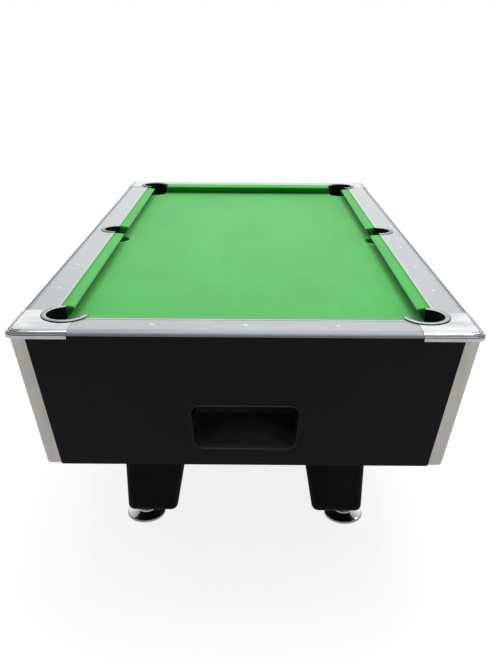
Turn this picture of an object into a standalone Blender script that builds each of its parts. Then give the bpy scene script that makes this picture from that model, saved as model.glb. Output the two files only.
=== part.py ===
"""Coin-operated pool table, in metres with +Z up.

The origin is on the floor under the middle of the table. +Y is the long axis, and the end with
the ball return is at -Y. Each physical piece is one object, and pieces that touch keep SEAT_GAP.
"""
import math

import bmesh
import bpy
from mathutils import Matrix

# Overall size over the corner castings, and up to the top of the rails
TABLE_LENGTH = 2.240
TABLE_WIDTH = 1.250
TABLE_HEIGHT = 0.800
SEAT_GAP = 0.0003
RUNNING_GAP = 0.0005
BALL_DIAMETER = 0.0572
BALL_CLEARANCE = 0.005

# Rails and their rubber cushions
RAIL_WIDTH = 0.104
RAIL_SET_IN = 0.004
RAIL_LIP_THICKNESS = 0.0115
RAIL_NOSING_RUN = 0.026
RAIL_NOSING_DROP = 0.0095
RAIL_BACK_CLEARANCE = 0.001
CUSHION_WIDTH = 0.036
CUSHION_TOP_DROP = 0.0005
CUSHION_NOSE_DROP = 0.004
CUSHION_NOSE_FACE = 0.006
CUSHION_FOOT = 0.014
CUSHION_END_SLANT = 0.1

# Bed
BED_DROP = 0.040
CLOTH_THICKNESS = 0.001
SLATE_THICKNESS = 0.0205
SLATE_MARGIN = 0.006
BEARER_INSET = 0.640
BEARER_DEPTH = 0.040
SLATE_BEARER_HEIGHT = 0.060
TROUGH_BEARER_HEIGHT = 0.035

# Pockets: the distances in from the table's outline to the pockets' middles
CORNER_POCKET_INSET = 0.134
SIDE_POCKET_INSET = 0.101
CORNER_POCKET_RADIUS = 0.057
SIDE_POCKET_RADIUS = 0.050
CORNER_JAW_ON_SIDE = 0.074
CORNER_JAW_ON_END = 0.065
SIDE_JAW = 0.057
LINER_WALL = 0.003
LINER_RIM_WIDTH = 0.007
LINER_RIM_THICKNESS = 0.003
LINER_DEPTH = 0.120
LINER_MOUTH_DROP = 0.003
CORNER_MOUTH_ANGLE = math.radians(116.0)
SIDE_MOUTH_ANGLE = math.radians(170.0)
POCKET_CLEARANCE = 0.0005
BED_NOTCH_CLEARANCE = 0.0015

# Corner castings
CASTING_LEG = 0.165
CASTING_DROP = 0.0195
CASTING_PROUD = 0.0015
CASTING_CORNER_RADIUS = 0.034
CASTING_NOSING = 0.010
CASTING_LOWER_EDGE = 0.002
CASTING_LIP = 0.0045

# Cabinet, which narrows towards its lower edge on all four sides
CABINET_SET_IN = 0.01185
CABINET_TAPER = 0.1208
CABINET_DEPTH = 0.428
PANEL_THICKNESS = 0.018
POST_LEG = 0.041
POST_CORNER_RADIUS = 0.012
POST_END_RADIUS = 0.012
FLOOR_THICKNESS = 0.016
FLOOR_RECESS = 0.004

# Legs and levelling feet
LEG_INSET_X = 0.2405
LEG_INSET_Y = 0.278
LEG_TOP_WIDTH = 0.2145
LEG_FOOT_WIDTH = 0.1605
LEG_FLOOR_CLEARANCE = 0.0545
LEG_EDGE_RADIUS = 0.021
FOOT_RADIUS = 0.0635
FOOT_RIM_HEIGHT = 0.007
FOOT_COLLAR_RADIUS = 0.031
FOOT_COLLAR_HEIGHT = 0.034
FOOT_NUT_RADIUS = 0.022
FOOT_STEM_RADIUS = 0.014
FOOT_STEM_LENGTH = 0.060
FOOT_INSET_X = 0.049
FOOT_INSET_Y = 0.0785
STEM_CLEARANCE = 0.0006
STEM_HEADROOM = 0.005

# Ball return in the front end panel: its width is taken at half its height
RETURN_WIDTH = 0.2955
RETURN_HEIGHT = 0.1445
RETURN_TAPER = 0.073
RETURN_RADIUS = 0.030
RETURN_DROP = 0.2973
BEZEL_FLANGE = 0.0025
BEZEL_PROUD = 0.0025
BEZEL_WALL = 0.003
TRAY_WALL = 0.005
TRAY_BACK_HEIGHT = 0.0455
TRAY_SIDE_HEIGHT = 0.060

# Troughs under the slate
GUTTER_WIDTH = 0.106
GUTTER_WALL = 0.006
GUTTER_WALL_HEIGHT = 0.035
GUTTER_FALL = 0.0436
GUTTER_CLEARANCE = 0.002
GUTTER_END_CLEARANCE = 0.006
PAN_POCKET_CLEARANCE = 0.0012
PAN_FALL = 0.0198
PAN_STEP = 0.008
PAN_WALL_HEIGHT = 0.035
LANE_WIDTH = 0.240
LANE_WALL = 0.006
LANE_WALL_HEIGHT = 0.040
LANE_FALL = 0.0441
LANE_STEP = 0.006
LANE_FRONT_INSET = 0.280
TROUGH_JOINT = 0.0008

# Release gate, which a ramp on the coin slide lifts
GATE_THICKNESS = 0.005
GATE_HEIGHT = 0.060
GATE_LANE_GAP = 0.012
GATE_SLOT_DEPTH = 0.006
GATE_POST_WIDTH = 0.030
GATE_POST_WALL = 0.006
GATE_POST_MARGIN = 0.014
SILL_DEPTH = 0.020
SILL_HEIGHT = 0.022
ARM_THICKNESS = 0.0055
ARM_HEIGHT = 0.020
ARM_BLOCK_WIDTH = 0.045
ARM_REACH = 0.051
PIN_RADIUS = 0.005
PIN_LENGTH = 0.020
RAMP_FOOT = 0.012
RAMP_SPARE = 0.006
RAMP_WIDTH = 0.025
BAR_HEIGHT = 0.012
BAR_THICKNESS = 0.014

# Coin unit on the right side panel
UNIT_DROP = 0.300
COIN_STROKE = 0.060
PLATE_THICKNESS = 0.004
PLATE_WIDTH = 0.170
PLATE_MARGIN = 0.020
PANEL_CUT_MARGIN = 0.013
RECESS_DEPTH = 0.048
RECESS_WIDTH = 0.090
RECESS_HEIGHT = 0.060
RECESS_WALL = 0.0025
HOUSING_LENGTH = 0.060
HOUSING_WIDTH = 0.060
HOUSING_HEIGHT = 0.022
TONGUE_WIDTH = 0.044
TONGUE_THICKNESS = 0.008
TONGUE_TAIL = 0.050
COIN_RADIUS = 0.0122
COIN_SPACING = 0.032
HANDLE_WIDTH = 0.072
HANDLE_HEIGHT = 0.022
HANDLE_THICKNESS = 0.012
HANDLE_REST_GAP = 0.004
BAR_HOUSING_GAP = 0.006

# Cash door, lock, chute and box under the coin slide
DOOR_WIDTH = 0.108
DOOR_HEIGHT = 0.093
DOOR_THICKNESS = 0.006
DOOR_BACK = 0.001
DOOR_CLEARANCE = 0.001
DOOR_BELOW_RECESS = 0.013
KNUCKLE_RADIUS = 0.0032
KNUCKLE_LENGTH = 0.030
KNUCKLE_LUG = 0.0045
LOCK_RADIUS = 0.0095
LOCK_HEAD_RADIUS = 0.0125
LOCK_HEAD_PROUD = 0.003
LOCK_EDGE_INSET = 0.016
LOCK_DEPTH = 0.016
CAM_THICKNESS = 0.003
CAM_WIDTH = 0.012
CAM_LENGTH = 0.026
KEYWAY_WIDTH = 0.0022
KEYWAY_LENGTH = 0.009
KEYWAY_DEPTH = 0.005
CHUTE_WALL = 0.002
CHUTE_LENGTH = 0.058
CHUTE_DEPTH = 0.036
CASH_BOX_DEPTH = 0.150
CASH_BOX_WIDTH = 0.100
CASH_BOX_HEIGHT = 0.084
CASH_BOX_WALL = 0.002
CASH_BOX_CLEARANCE = 0.004

# Facets of the round pieces, and the angle past which an edge between facets shows
POCKET_STEPS = 40
FOOT_STEPS = 28
SMALL_STEPS = 20
ARC_STEPS = 6
EDGE_STEPS = 3
NOSING_STEPS = 4
SHARP_ANGLE = math.radians(40)

# Dot products of a face's normal with the outward corner direction
FACES_OUT = 0.5
FACES_ASIDE = 0.1

# Heights and places worked out from the sizes above
CABINET_TOP = TABLE_HEIGHT - RAIL_LIP_THICKNESS - SEAT_GAP
CABINET_BOTTOM = TABLE_HEIGHT - CABINET_DEPTH
BED_TOP = TABLE_HEIGHT - BED_DROP
SLATE_TOP = BED_TOP - CLOTH_THICKNESS - SEAT_GAP
SLATE_BOTTOM = SLATE_TOP - SLATE_THICKNESS
FLOOR_BOTTOM = CABINET_BOTTOM + FLOOR_RECESS
FLOOR_TOP = FLOOR_BOTTOM + FLOOR_THICKNESS
TAPER_ANGLE = math.atan(CABINET_TAPER)
LEG_OUTER_X = TABLE_WIDTH / 2 - LEG_INSET_X
LEG_OUTER_Y = TABLE_LENGTH / 2 - LEG_INSET_Y
BEARER_Y = TABLE_LENGTH / 2 - BEARER_INSET
LANE_FRONT = LANE_FRONT_INSET - TABLE_LENGTH / 2
RETURN_CENTRE_HEIGHT = TABLE_HEIGHT - RETURN_DROP
UNIT_HEIGHT = TABLE_HEIGHT - UNIT_DROP
CORNER_POCKET_X = TABLE_WIDTH / 2 - CORNER_POCKET_INSET
CORNER_POCKET_Y = TABLE_LENGTH / 2 - CORNER_POCKET_INSET
SIDE_POCKET_X = TABLE_WIDTH / 2 - SIDE_POCKET_INSET
LINER_BOTTOM = TABLE_HEIGHT - LINER_DEPTH
BALL_ROOM = BALL_DIAMETER + BALL_CLEARANCE

# Directions of the outlines: XY lies flat, XZ stands across the table, YZ stands along it
PLANES = {
    "XY": Matrix.Identity(4),
    "XZ": Matrix.Rotation(math.pi / 2, 4, "X"),
    "YZ": Matrix(((0, 0, 1, 0), (1, 0, 0, 0), (0, 1, 0, 0), (0, 0, 0, 1))),
}
CORNERS = {
    "front_left": (-1, -1),
    "front_right": (1, -1),
    "rear_left": (-1, 1),
    "rear_right": (1, 1),
}


def half_width(height):
    """Half of the cabinet's outside width at a height above the ground."""
    return TABLE_WIDTH / 2 - CABINET_SET_IN - CABINET_TAPER * (CABINET_TOP - height)


def half_length(height):
    """Half of the cabinet's outside length at a height above the ground."""
    return TABLE_LENGTH / 2 - CABINET_SET_IN - CABINET_TAPER * (CABINET_TOP - height)


def inside_width(height):
    """Half of the clear width between the side panels, less the seat gap."""
    return half_width(height) - PANEL_THICKNESS - SEAT_GAP


def inside_length(height):
    """Half of the clear length between the end panels, less the seat gap."""
    return half_length(height) - PANEL_THICKNESS - SEAT_GAP


def clear_scene():
    """Remove the objects that are already in the scene."""
    for obj in list(bpy.data.objects):
        bpy.data.objects.remove(obj, do_unlink=True)


def new_collection(name):
    """Make a collection in the scene."""
    collection = bpy.data.collections.new(name)
    bpy.context.scene.collection.children.link(collection)
    return collection


clear_scene()
PARTS = new_collection("pool_table")
CUTTERS = new_collection("pool_table_cutters")


def make_material(name, colour, roughness, metallic):
    """A plain Principled material."""
    material = bpy.data.materials.new(name)
    material.use_nodes = True
    shader = material.node_tree.nodes["Principled BSDF"]
    shader.inputs["Base Color"].default_value = (*colour, 1.0)
    shader.inputs["Roughness"].default_value = roughness
    shader.inputs["Metallic"].default_value = metallic
    return material


LAMINATE = make_material("black_laminate", (0.012, 0.012, 0.013), 0.45, 0.0)
PLYWOOD = make_material("plywood", (0.42, 0.28, 0.16), 0.7, 0.0)
RAIL_GREY = make_material("rail_laminate", (0.58, 0.61, 0.62), 0.35, 0.0)
CLOTH = make_material("green_cloth", (0.10, 0.50, 0.13), 0.95, 0.0)
SLATE = make_material("slate", (0.16, 0.17, 0.18), 0.8, 0.0)
CHROME = make_material("chrome", (0.82, 0.83, 0.84), 0.15, 1.0)
ALUMINIUM = make_material("satin_aluminium", (0.55, 0.55, 0.52), 0.45, 1.0)
RUBBER = make_material("black_rubber", (0.015, 0.015, 0.016), 0.7, 0.0)
PLASTIC = make_material("black_plastic", (0.018, 0.018, 0.02), 0.4, 0.0)
STEEL = make_material("steel", (0.56, 0.56, 0.57), 0.35, 1.0)
BRASS = make_material("brass", (0.70, 0.55, 0.28), 0.3, 1.0)


def add_object(name, mesh, material, matrix=None, parent=None):
    """Put a mesh in the scene as a piece, or as a cutter where it has no material."""
    obj = bpy.data.objects.new(name, mesh)
    if material is None:
        CUTTERS.objects.link(obj)
        obj.hide_render = True
        obj.display_type = "WIRE"
    else:
        PARTS.objects.link(obj)
        mesh.materials.clear()
        mesh.materials.append(material)
    obj.parent = parent
    obj.matrix_local = matrix if matrix is not None else Matrix.Identity(4)
    return obj


def finish_mesh(bm, name, smooth=False):
    """Turn a bmesh into mesh data with its faces pointing out."""
    bmesh.ops.recalc_face_normals(bm, faces=bm.faces)
    mesh = bpy.data.meshes.new(name)
    bm.to_mesh(mesh)
    bm.free()
    if smooth:
        mesh.shade_smooth()
        mesh.set_sharp_from_angle(angle=SHARP_ANGLE)
    return mesh


def block_mesh(name, low, high, low_top=None, high_top=None):
    """A cube whose lower and upper rectangles may differ, as on a tapered board."""
    bm = bmesh.new()
    bmesh.ops.create_cube(bm, size=1.0)
    low_top = low_top or low
    high_top = high_top or high
    for vert in bm.verts:
        upper = vert.co.z > 0
        near, far = (low_top, high_top) if upper else (low, high)
        vert.co.x = far[0] if vert.co.x > 0 else near[0]
        vert.co.y = far[1] if vert.co.y > 0 else near[1]
        vert.co.z = high[2] if upper else low[2]
    return finish_mesh(bm, name)


def add_block(name, low, high, material, parent=None, low_top=None, high_top=None):
    """A box between two corners, in its parent's frame."""
    mesh = block_mesh(name, low, high, low_top, high_top)
    return add_object(name, mesh, material, parent=parent)


def outline_bmesh(outline, thickness):
    """A flat outline drawn as a filled 2D curve, made a welded mesh of the given thickness."""
    curve = bpy.data.curves.new("outline", "CURVE")
    curve.dimensions = "2D"
    curve.fill_mode = "BOTH"
    curve.extrude = thickness / 2
    spline = curve.splines.new("POLY")
    spline.points.add(len(outline) - 1)
    for point, (across, along) in zip(spline.points, outline):
        point.co = (across, along, 0.0, 1.0)
    spline.use_cyclic_u = True
    carrier = bpy.data.objects.new("outline", curve)
    CUTTERS.objects.link(carrier)
    depsgraph = bpy.context.evaluated_depsgraph_get()
    mesh = bpy.data.meshes.new_from_object(carrier.evaluated_get(depsgraph))
    bm = bmesh.new()
    bm.from_mesh(mesh)
    bmesh.ops.remove_doubles(bm, verts=bm.verts, dist=1e-6)
    bmesh.ops.dissolve_limit(bm, angle_limit=1e-4, verts=bm.verts, edges=bm.edges)
    bmesh.ops.recalc_face_normals(bm, faces=bm.faces)
    bpy.data.objects.remove(carrier, do_unlink=True)
    bpy.data.meshes.remove(mesh)
    bpy.data.curves.remove(curve)
    return bm


def add_outline(name, outline, thickness, plane, middle, material, parent=None, place=None):
    """A flat outline with a thickness centred on a middle point, drawn in one of PLANES."""
    mesh = finish_mesh(outline_bmesh(outline, thickness), name)
    matrix = (place or Matrix.Identity(4)) @ Matrix.Translation(middle) @ PLANES[plane]
    return add_object(name, mesh, material, matrix, parent)


def add_turned(name, profile, steps, material, matrix=None, parent=None, closed=False):
    """A profile of radius and height pairs, listed top to bottom on its outside, turned round Z."""
    mesh = bpy.data.meshes.new(name)
    verts = [(radius, 0.0, height) for radius, height in profile]
    edges = [(index, index + 1) for index in range(len(verts) - 1)]
    if closed:
        edges.append((len(verts) - 1, 0))
    mesh.from_pydata(verts, edges, [])
    obj = add_object(name, mesh, material, matrix, parent)
    screw = obj.modifiers.new("turn", "SCREW")
    screw.axis = "Z"
    screw.angle = 2 * math.pi
    screw.steps = steps
    screw.render_steps = steps
    screw.use_merge_vertices = True
    screw.merge_threshold = 1e-5
    screw.use_smooth_shade = True
    return obj


def add_cylinder(name, radius, low, high, steps, material, matrix=None, parent=None):
    """A capped cylinder round the Z axis of its frame."""
    bm = bmesh.new()
    bmesh.ops.create_cone(
        bm, cap_ends=True, segments=steps, radius1=radius, radius2=radius, depth=high - low
    )
    bmesh.ops.translate(bm, verts=bm.verts, vec=(0, 0, (low + high) / 2))
    return add_object(name, finish_mesh(bm, name, smooth=True), material, matrix, parent)


def combine(obj, other, operation):
    """Cut a piece with another object, or join the other object to it."""
    boolean = obj.modifiers.new(operation.lower(), "BOOLEAN")
    boolean.operation = operation
    boolean.solver = "EXACT"
    boolean.object = other
    return obj


def arc(centre, radius, start, end, steps):
    """Points round an arc, with both ends, angles in degrees."""
    points = []
    for step in range(steps + 1):
        angle = math.radians(start + (end - start) * step / steps)
        points.append((centre[0] + radius * math.cos(angle), centre[1] + radius * math.sin(angle)))
    return points


def rounded_rectangle(width, height, radius):
    """An outline with four equal round corners, centred on the origin."""
    across = width / 2 - radius
    up = height / 2 - radius
    points = []
    for sign_x, sign_z, start in ((1, 1, 0), (-1, 1, 90), (-1, -1, 180), (1, -1, 270)):
        points += arc((sign_x * across, sign_z * up), radius, start, start + 90, ARC_STEPS)
    return points


def channel_outline(inner_width, wall, wall_height):
    """A U-shaped trough section whose floor surface is at zero."""
    inner = inner_width / 2
    outer = inner + wall
    return [
        (-outer, -wall), (outer, -wall), (outer, wall_height), (inner, wall_height),
        (inner, 0), (-inner, 0), (-inner, wall_height), (-outer, wall_height),
    ]


def round_edges(bm, edges, radius, steps):
    """Round the given edges of a bmesh."""
    bmesh.ops.bevel(bm, geom=edges, offset=radius, segments=steps, profile=0.5, affect="EDGES")


def move_origin(obj, point):
    """Set a piece's origin to a point of its parent's frame without moving the piece."""
    obj.data.transform(Matrix.Translation(point).inverted())
    obj.matrix_local = Matrix.Translation(point)


# Cabinet


def build_panels():
    """Two end panels and two side panels between the corner posts."""
    low, high = CABINET_BOTTOM, CABINET_TOP
    panels = {}
    reach = POST_LEG + SEAT_GAP
    for name, sign in (("end_panel_front", -1), ("end_panel_rear", 1)):
        corners = []
        for height in (low, high):
            across = half_width(height) - reach
            outer = sign * half_length(height)
            inner = outer - sign * PANEL_THICKNESS
            corners.append((-across, min(outer, inner), height))
            corners.append((across, max(outer, inner), height))
        panels[name] = add_block(
            name, corners[0], (*corners[1][:2], high), LAMINATE, None, corners[2], corners[3]
        )
    for name, sign in (("side_panel_left", -1), ("side_panel_right", 1)):
        corners = []
        for height in (low, high):
            along = half_length(height) - reach
            outer = sign * half_width(height)
            inner = outer - sign * PANEL_THICKNESS
            corners.append((min(outer, inner), -along, height))
            corners.append((max(outer, inner), along, height))
        panels[name] = add_block(
            name, corners[0], (*corners[1][:2], high), LAMINATE, None, corners[2], corners[3]
        )
    return panels


def build_corner_post(name, sign_x, sign_y):
    """An angle extrusion that leans with the cabinet and is rounded at its lower end."""
    middle = (CABINET_BOTTOM + CABINET_TOP) / 2
    length = CABINET_TOP - CABINET_BOTTOM
    x, y = half_width(middle), half_length(middle)
    outline = [(x - POST_LEG, y)]
    bend = (x - POST_CORNER_RADIUS, y - POST_CORNER_RADIUS)
    outline += arc(bend, POST_CORNER_RADIUS, 90, 0, ARC_STEPS)
    outline += [
        (x, y - POST_LEG), (x - PANEL_THICKNESS, y - POST_LEG),
        (x - PANEL_THICKNESS, y - PANEL_THICKNESS), (x - POST_LEG, y - PANEL_THICKNESS),
    ]
    bm = outline_bmesh([(sign_x * a, sign_y * b) for a, b in outline], length)
    lower = []
    for edge in bm.edges:
        if all(vert.co.z < 0 for vert in edge.verts):
            facing = [face.normal.x * sign_x + face.normal.y * sign_y for face in edge.link_faces]
            if max(facing) > FACES_OUT:
                lower.append(edge)
    round_edges(bm, lower, POST_END_RADIUS, EDGE_STEPS)
    for vert in bm.verts:
        lean = CABINET_TAPER * vert.co.z
        vert.co.x += sign_x * lean
        vert.co.y += sign_y * lean
    mesh = finish_mesh(bm, name, smooth=True)
    return add_object(name, mesh, ALUMINIUM, Matrix.Translation((0, 0, middle)))


def build_cabinet_floor():
    """The board that closes the cabinet and carries the legs."""
    x0, y0 = inside_width(FLOOR_BOTTOM), inside_length(FLOOR_BOTTOM)
    x1, y1 = inside_width(FLOOR_TOP), inside_length(FLOOR_TOP)
    return add_block(
        "cabinet_floor", (-x0, -y0, FLOOR_BOTTOM), (x0, y0, FLOOR_TOP), PLYWOOD, None,
        (-x1, -y1, FLOOR_TOP), (x1, y1, FLOOR_TOP),
    )


# Legs


def build_leg(name, sign_x, sign_y):
    """A tapered leg with upright outer faces and a bore for the foot's stem."""
    top = FLOOR_BOTTOM - SEAT_GAP
    low = (LEG_OUTER_X - LEG_FOOT_WIDTH, LEG_OUTER_Y - LEG_FOOT_WIDTH, LEG_FLOOR_CLEARANCE)
    low_top = (LEG_OUTER_X - LEG_TOP_WIDTH, LEG_OUTER_Y - LEG_TOP_WIDTH, top)
    high = (LEG_OUTER_X, LEG_OUTER_Y, top)
    bm = bmesh.new()
    bm.from_mesh(block_mesh(name, low, high, low_top, high))
    kept = [edge for edge in bm.edges if any(vert.co.z < top - SEAT_GAP for vert in edge.verts)]
    round_edges(bm, kept, LEG_EDGE_RADIUS, EDGE_STEPS)
    bmesh.ops.scale(bm, verts=bm.verts, vec=(sign_x, sign_y, 1))
    leg = add_object(name, finish_mesh(bm, name, smooth=True), LAMINATE)
    place = Matrix.Translation(foot_place(sign_x, sign_y))
    bore = add_cylinder(
        name + "_bore", FOOT_STEM_RADIUS + STEM_CLEARANCE, LEG_FLOOR_CLEARANCE - STEM_HEADROOM,
        LEG_FLOOR_CLEARANCE + FOOT_STEM_LENGTH + STEM_HEADROOM, FOOT_STEPS, None, place,
    )
    return combine(leg, bore, "DIFFERENCE")


def foot_place(sign_x, sign_y):
    """The point on the ground under a foot's stem."""
    return (sign_x * (LEG_OUTER_X - FOOT_INSET_X), sign_y * (LEG_OUTER_Y - FOOT_INSET_Y), 0)


def build_leveller(name, sign_x, sign_y):
    """A dished foot with a collar, a nut under the leg and a screw stem."""
    nut_top = LEG_FLOOR_CLEARANCE - SEAT_GAP
    dish_top = FOOT_COLLAR_HEIGHT - FOOT_RIM_HEIGHT / 2
    profile = [
        (0, LEG_FLOOR_CLEARANCE + FOOT_STEM_LENGTH),
        (FOOT_STEM_RADIUS, LEG_FLOOR_CLEARANCE + FOOT_STEM_LENGTH),
        (FOOT_STEM_RADIUS, nut_top),
        (FOOT_NUT_RADIUS, nut_top),
        (FOOT_NUT_RADIUS, FOOT_COLLAR_HEIGHT),
        (FOOT_COLLAR_RADIUS, FOOT_COLLAR_HEIGHT),
        (FOOT_COLLAR_RADIUS, dish_top),
        (FOOT_RADIUS, FOOT_RIM_HEIGHT),
        (FOOT_RADIUS, 0),
        (0, 0),
    ]
    place = Matrix.Translation(foot_place(sign_x, sign_y))
    return add_turned(name, profile, FOOT_STEPS, CHROME, place)


# Bed


def bed_outline(edge_x, edge_y, clearance):
    """The bed with its six pocket notches, one quarter mirrored into four."""
    corner = CORNER_POCKET_RADIUS + LINER_WALL + clearance
    side = SIDE_POCKET_RADIUS + LINER_WALL + clearance
    quarter_steps = POCKET_STEPS // 4
    quarter = arc((SIDE_POCKET_X, 0), side, 180, 90, quarter_steps)
    quarter += [(edge_x, side), (edge_x, CORNER_POCKET_Y - corner)]
    quarter += arc((CORNER_POCKET_X, CORNER_POCKET_Y), corner, 270, 180, quarter_steps)
    quarter.append((CORNER_POCKET_X - corner, edge_y))
    rear_left = [(-x, y) for x, y in reversed(quarter)]
    front_left = [(-x, -y) for x, y in quarter[1:]]
    front_right = [(x, -y) for x, y in reversed(quarter[1:])]
    return quarter + rear_left + front_left + front_right


def build_bed():
    """The slate and the cloth stretched over it."""
    edge_x = inside_width(SLATE_BOTTOM) - SLATE_MARGIN
    edge_y = inside_length(SLATE_BOTTOM) - SLATE_MARGIN
    outline = bed_outline(edge_x, edge_y, BED_NOTCH_CLEARANCE)
    middle = (0, 0, (SLATE_TOP + SLATE_BOTTOM) / 2)
    add_outline("slate_bed", outline, SLATE_THICKNESS, "XY", middle, SLATE)
    middle = (0, 0, BED_TOP - CLOTH_THICKNESS / 2)
    add_outline("bed_cloth", outline, CLOTH_THICKNESS, "XY", middle, CLOTH)


def build_slate_bearer(name, along):
    """A cross beam between the side panels, under the slate."""
    top = SLATE_BOTTOM - SEAT_GAP
    bottom = top - SLATE_BEARER_HEIGHT
    outline = [
        (-inside_width(bottom), bottom), (inside_width(bottom), bottom),
        (inside_width(top), top), (-inside_width(top), top),
    ]
    add_outline(name, outline, BEARER_DEPTH, "XZ", (0, along, 0), PLYWOOD)


# Rails, castings and cushions


def build_pocket_cutters():
    """Upright cylinders that clear the pocket liners through the rails and castings."""
    cutters = {}
    low, high = BED_TOP - BED_DROP, TABLE_HEIGHT + BED_DROP
    for corner, (sign_x, sign_y) in CORNERS.items():
        place = Matrix.Translation((sign_x * CORNER_POCKET_X, sign_y * CORNER_POCKET_Y, 0))
        radius = CORNER_POCKET_RADIUS + LINER_WALL + POCKET_CLEARANCE
        cutters[corner] = add_cylinder(
            "pocket_cut_" + corner, radius, low, high, POCKET_STEPS, None, place
        )
    for side, sign in (("left", -1), ("right", 1)):
        place = Matrix.Translation((sign * SIDE_POCKET_X, 0, 0))
        radius = SIDE_POCKET_RADIUS + LINER_WALL + POCKET_CLEARANCE
        cutters[side] = add_cylinder(
            "pocket_cut_" + side, radius, low, high, POCKET_STEPS, None, place
        )
    return cutters


def rail_back_inset(height):
    """How far a rail's lower body lies in from the table's outline, clear of the panel behind it."""
    return TABLE_WIDTH / 2 - half_width(height) + PANEL_THICKNESS + RAIL_BACK_CLEARANCE


def rail_section(half):
    """A rail's section on the +X side: an overhanging lip with a rounded top edge."""
    bottom = BED_TOP + SEAT_GAP
    back = half - rail_back_inset(bottom)
    outer = half - RAIL_SET_IN
    inner = half - RAIL_WIDTH
    lip = TABLE_HEIGHT - RAIL_LIP_THICKNESS
    section = [(outer, lip)]
    for step in range(ARC_STEPS + 1):
        turn = math.pi / 2 * step / ARC_STEPS
        across = outer - RAIL_NOSING_RUN * (1 - math.cos(turn))
        up = TABLE_HEIGHT - RAIL_NOSING_DROP * (1 - math.sin(turn))
        section.append((across, up))
    section += [(inner, TABLE_HEIGHT), (inner, bottom), (back, bottom), (back, lip)]
    return section


def build_rail(name, half, half_along, turn, cutters):
    """A rail board between two corner castings, cut for the pockets."""
    length = 2 * (half_along - CASTING_LEG - SEAT_GAP)
    place = Matrix.Rotation(math.radians(turn), 4, "Z")
    rail = add_outline(
        name, rail_section(half), length, "XZ", (0, 0, 0), RAIL_GREY, None, place
    )
    for cutter in cutters:
        combine(rail, cutter, "DIFFERENCE")
    return rail


def build_casting(name, sign_x, sign_y, cutter):
    """A corner casting with rounded outer edges, hollow underneath and cut for the pocket."""
    x, y = TABLE_WIDTH / 2, TABLE_LENGTH / 2
    bend = (x - CASTING_CORNER_RADIUS, y - CASTING_CORNER_RADIUS)
    outline = [(x - CASTING_LEG, y - CASTING_LEG), (x, y - CASTING_LEG)]
    outline += arc(bend, CASTING_CORNER_RADIUS, 0, 90, ARC_STEPS)
    outline.append((x - CASTING_LEG, y))
    thickness = CASTING_DROP + CASTING_PROUD
    bm = outline_bmesh([(sign_x * a, sign_y * b) for a, b in outline], thickness)
    for upper, width, steps in ((True, CASTING_NOSING, NOSING_STEPS), (False, CASTING_LOWER_EDGE, 1)):
        edges = []
        for edge in bm.edges:
            level = all((vert.co.z > 0) == upper for vert in edge.verts)
            facing = [face.normal.x * sign_x + face.normal.y * sign_y for face in edge.link_faces]
            flat = abs(edge.verts[0].co.z - edge.verts[1].co.z) < SEAT_GAP
            if level and flat and max(facing) > FACES_OUT and min(facing) < FACES_ASIDE:
                edges.append(edge)
        round_edges(bm, edges, width, steps)
        bmesh.ops.recalc_face_normals(bm, faces=bm.faces)
    middle = TABLE_HEIGHT + CASTING_PROUD - thickness / 2
    mesh = finish_mesh(bm, name, smooth=True)
    casting = add_object(name, mesh, CHROME, Matrix.Translation((0, 0, middle)))
    combine(casting, casting_hollow(name, sign_x, sign_y, bend), "DIFFERENCE")
    return combine(casting, cutter, "DIFFERENCE")


def casting_hollow(name, sign_x, sign_y, bend):
    """A cutter for a casting's underside, which leaves a lip that hangs in front of the cabinet."""
    x, y = TABLE_WIDTH / 2 - CASTING_LIP, TABLE_LENGTH / 2 - CASTING_LIP
    outline = [(x - CASTING_LEG, y - CASTING_LEG), (x, y - CASTING_LEG)]
    outline += arc(bend, CASTING_CORNER_RADIUS - CASTING_LIP, 0, 90, ARC_STEPS)
    outline.append((x - CASTING_LEG, y))
    outline = [(sign_x * a, sign_y * b) for a, b in outline]
    top = TABLE_HEIGHT - RAIL_LIP_THICKNESS
    low = TABLE_HEIGHT - CASTING_DROP - CASTING_LIP
    return add_outline(name + "_hollow", outline, top - low, "XY", (0, 0, (top + low) / 2), None)


def build_cushion(name, half, start, end, turn):
    """A rubber cushion glued to a rail, its ends cut slightly back from the nose."""
    back = half - RAIL_WIDTH - SEAT_GAP
    nose = half - RAIL_WIDTH - CUSHION_WIDTH
    nose_top = TABLE_HEIGHT - CUSHION_NOSE_DROP
    bottom = BED_TOP + SEAT_GAP
    section = [
        (back, TABLE_HEIGHT - CUSHION_TOP_DROP), (nose, nose_top),
        (nose, nose_top - CUSHION_NOSE_FACE), (back - CUSHION_FOOT, bottom), (back, bottom),
    ]
    bm = outline_bmesh(section, end - start)
    for vert in bm.verts:
        shorten = CUSHION_END_SLANT * (vert.co.x - nose)
        vert.co.z -= math.copysign(shorten, vert.co.z)
    place = Matrix.Rotation(math.radians(turn), 4, "Z")
    place = place @ Matrix.Translation((0, (start + end) / 2, 0)) @ PLANES["XZ"]
    return add_object(name, finish_mesh(bm, name), CLOTH, place)


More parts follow.
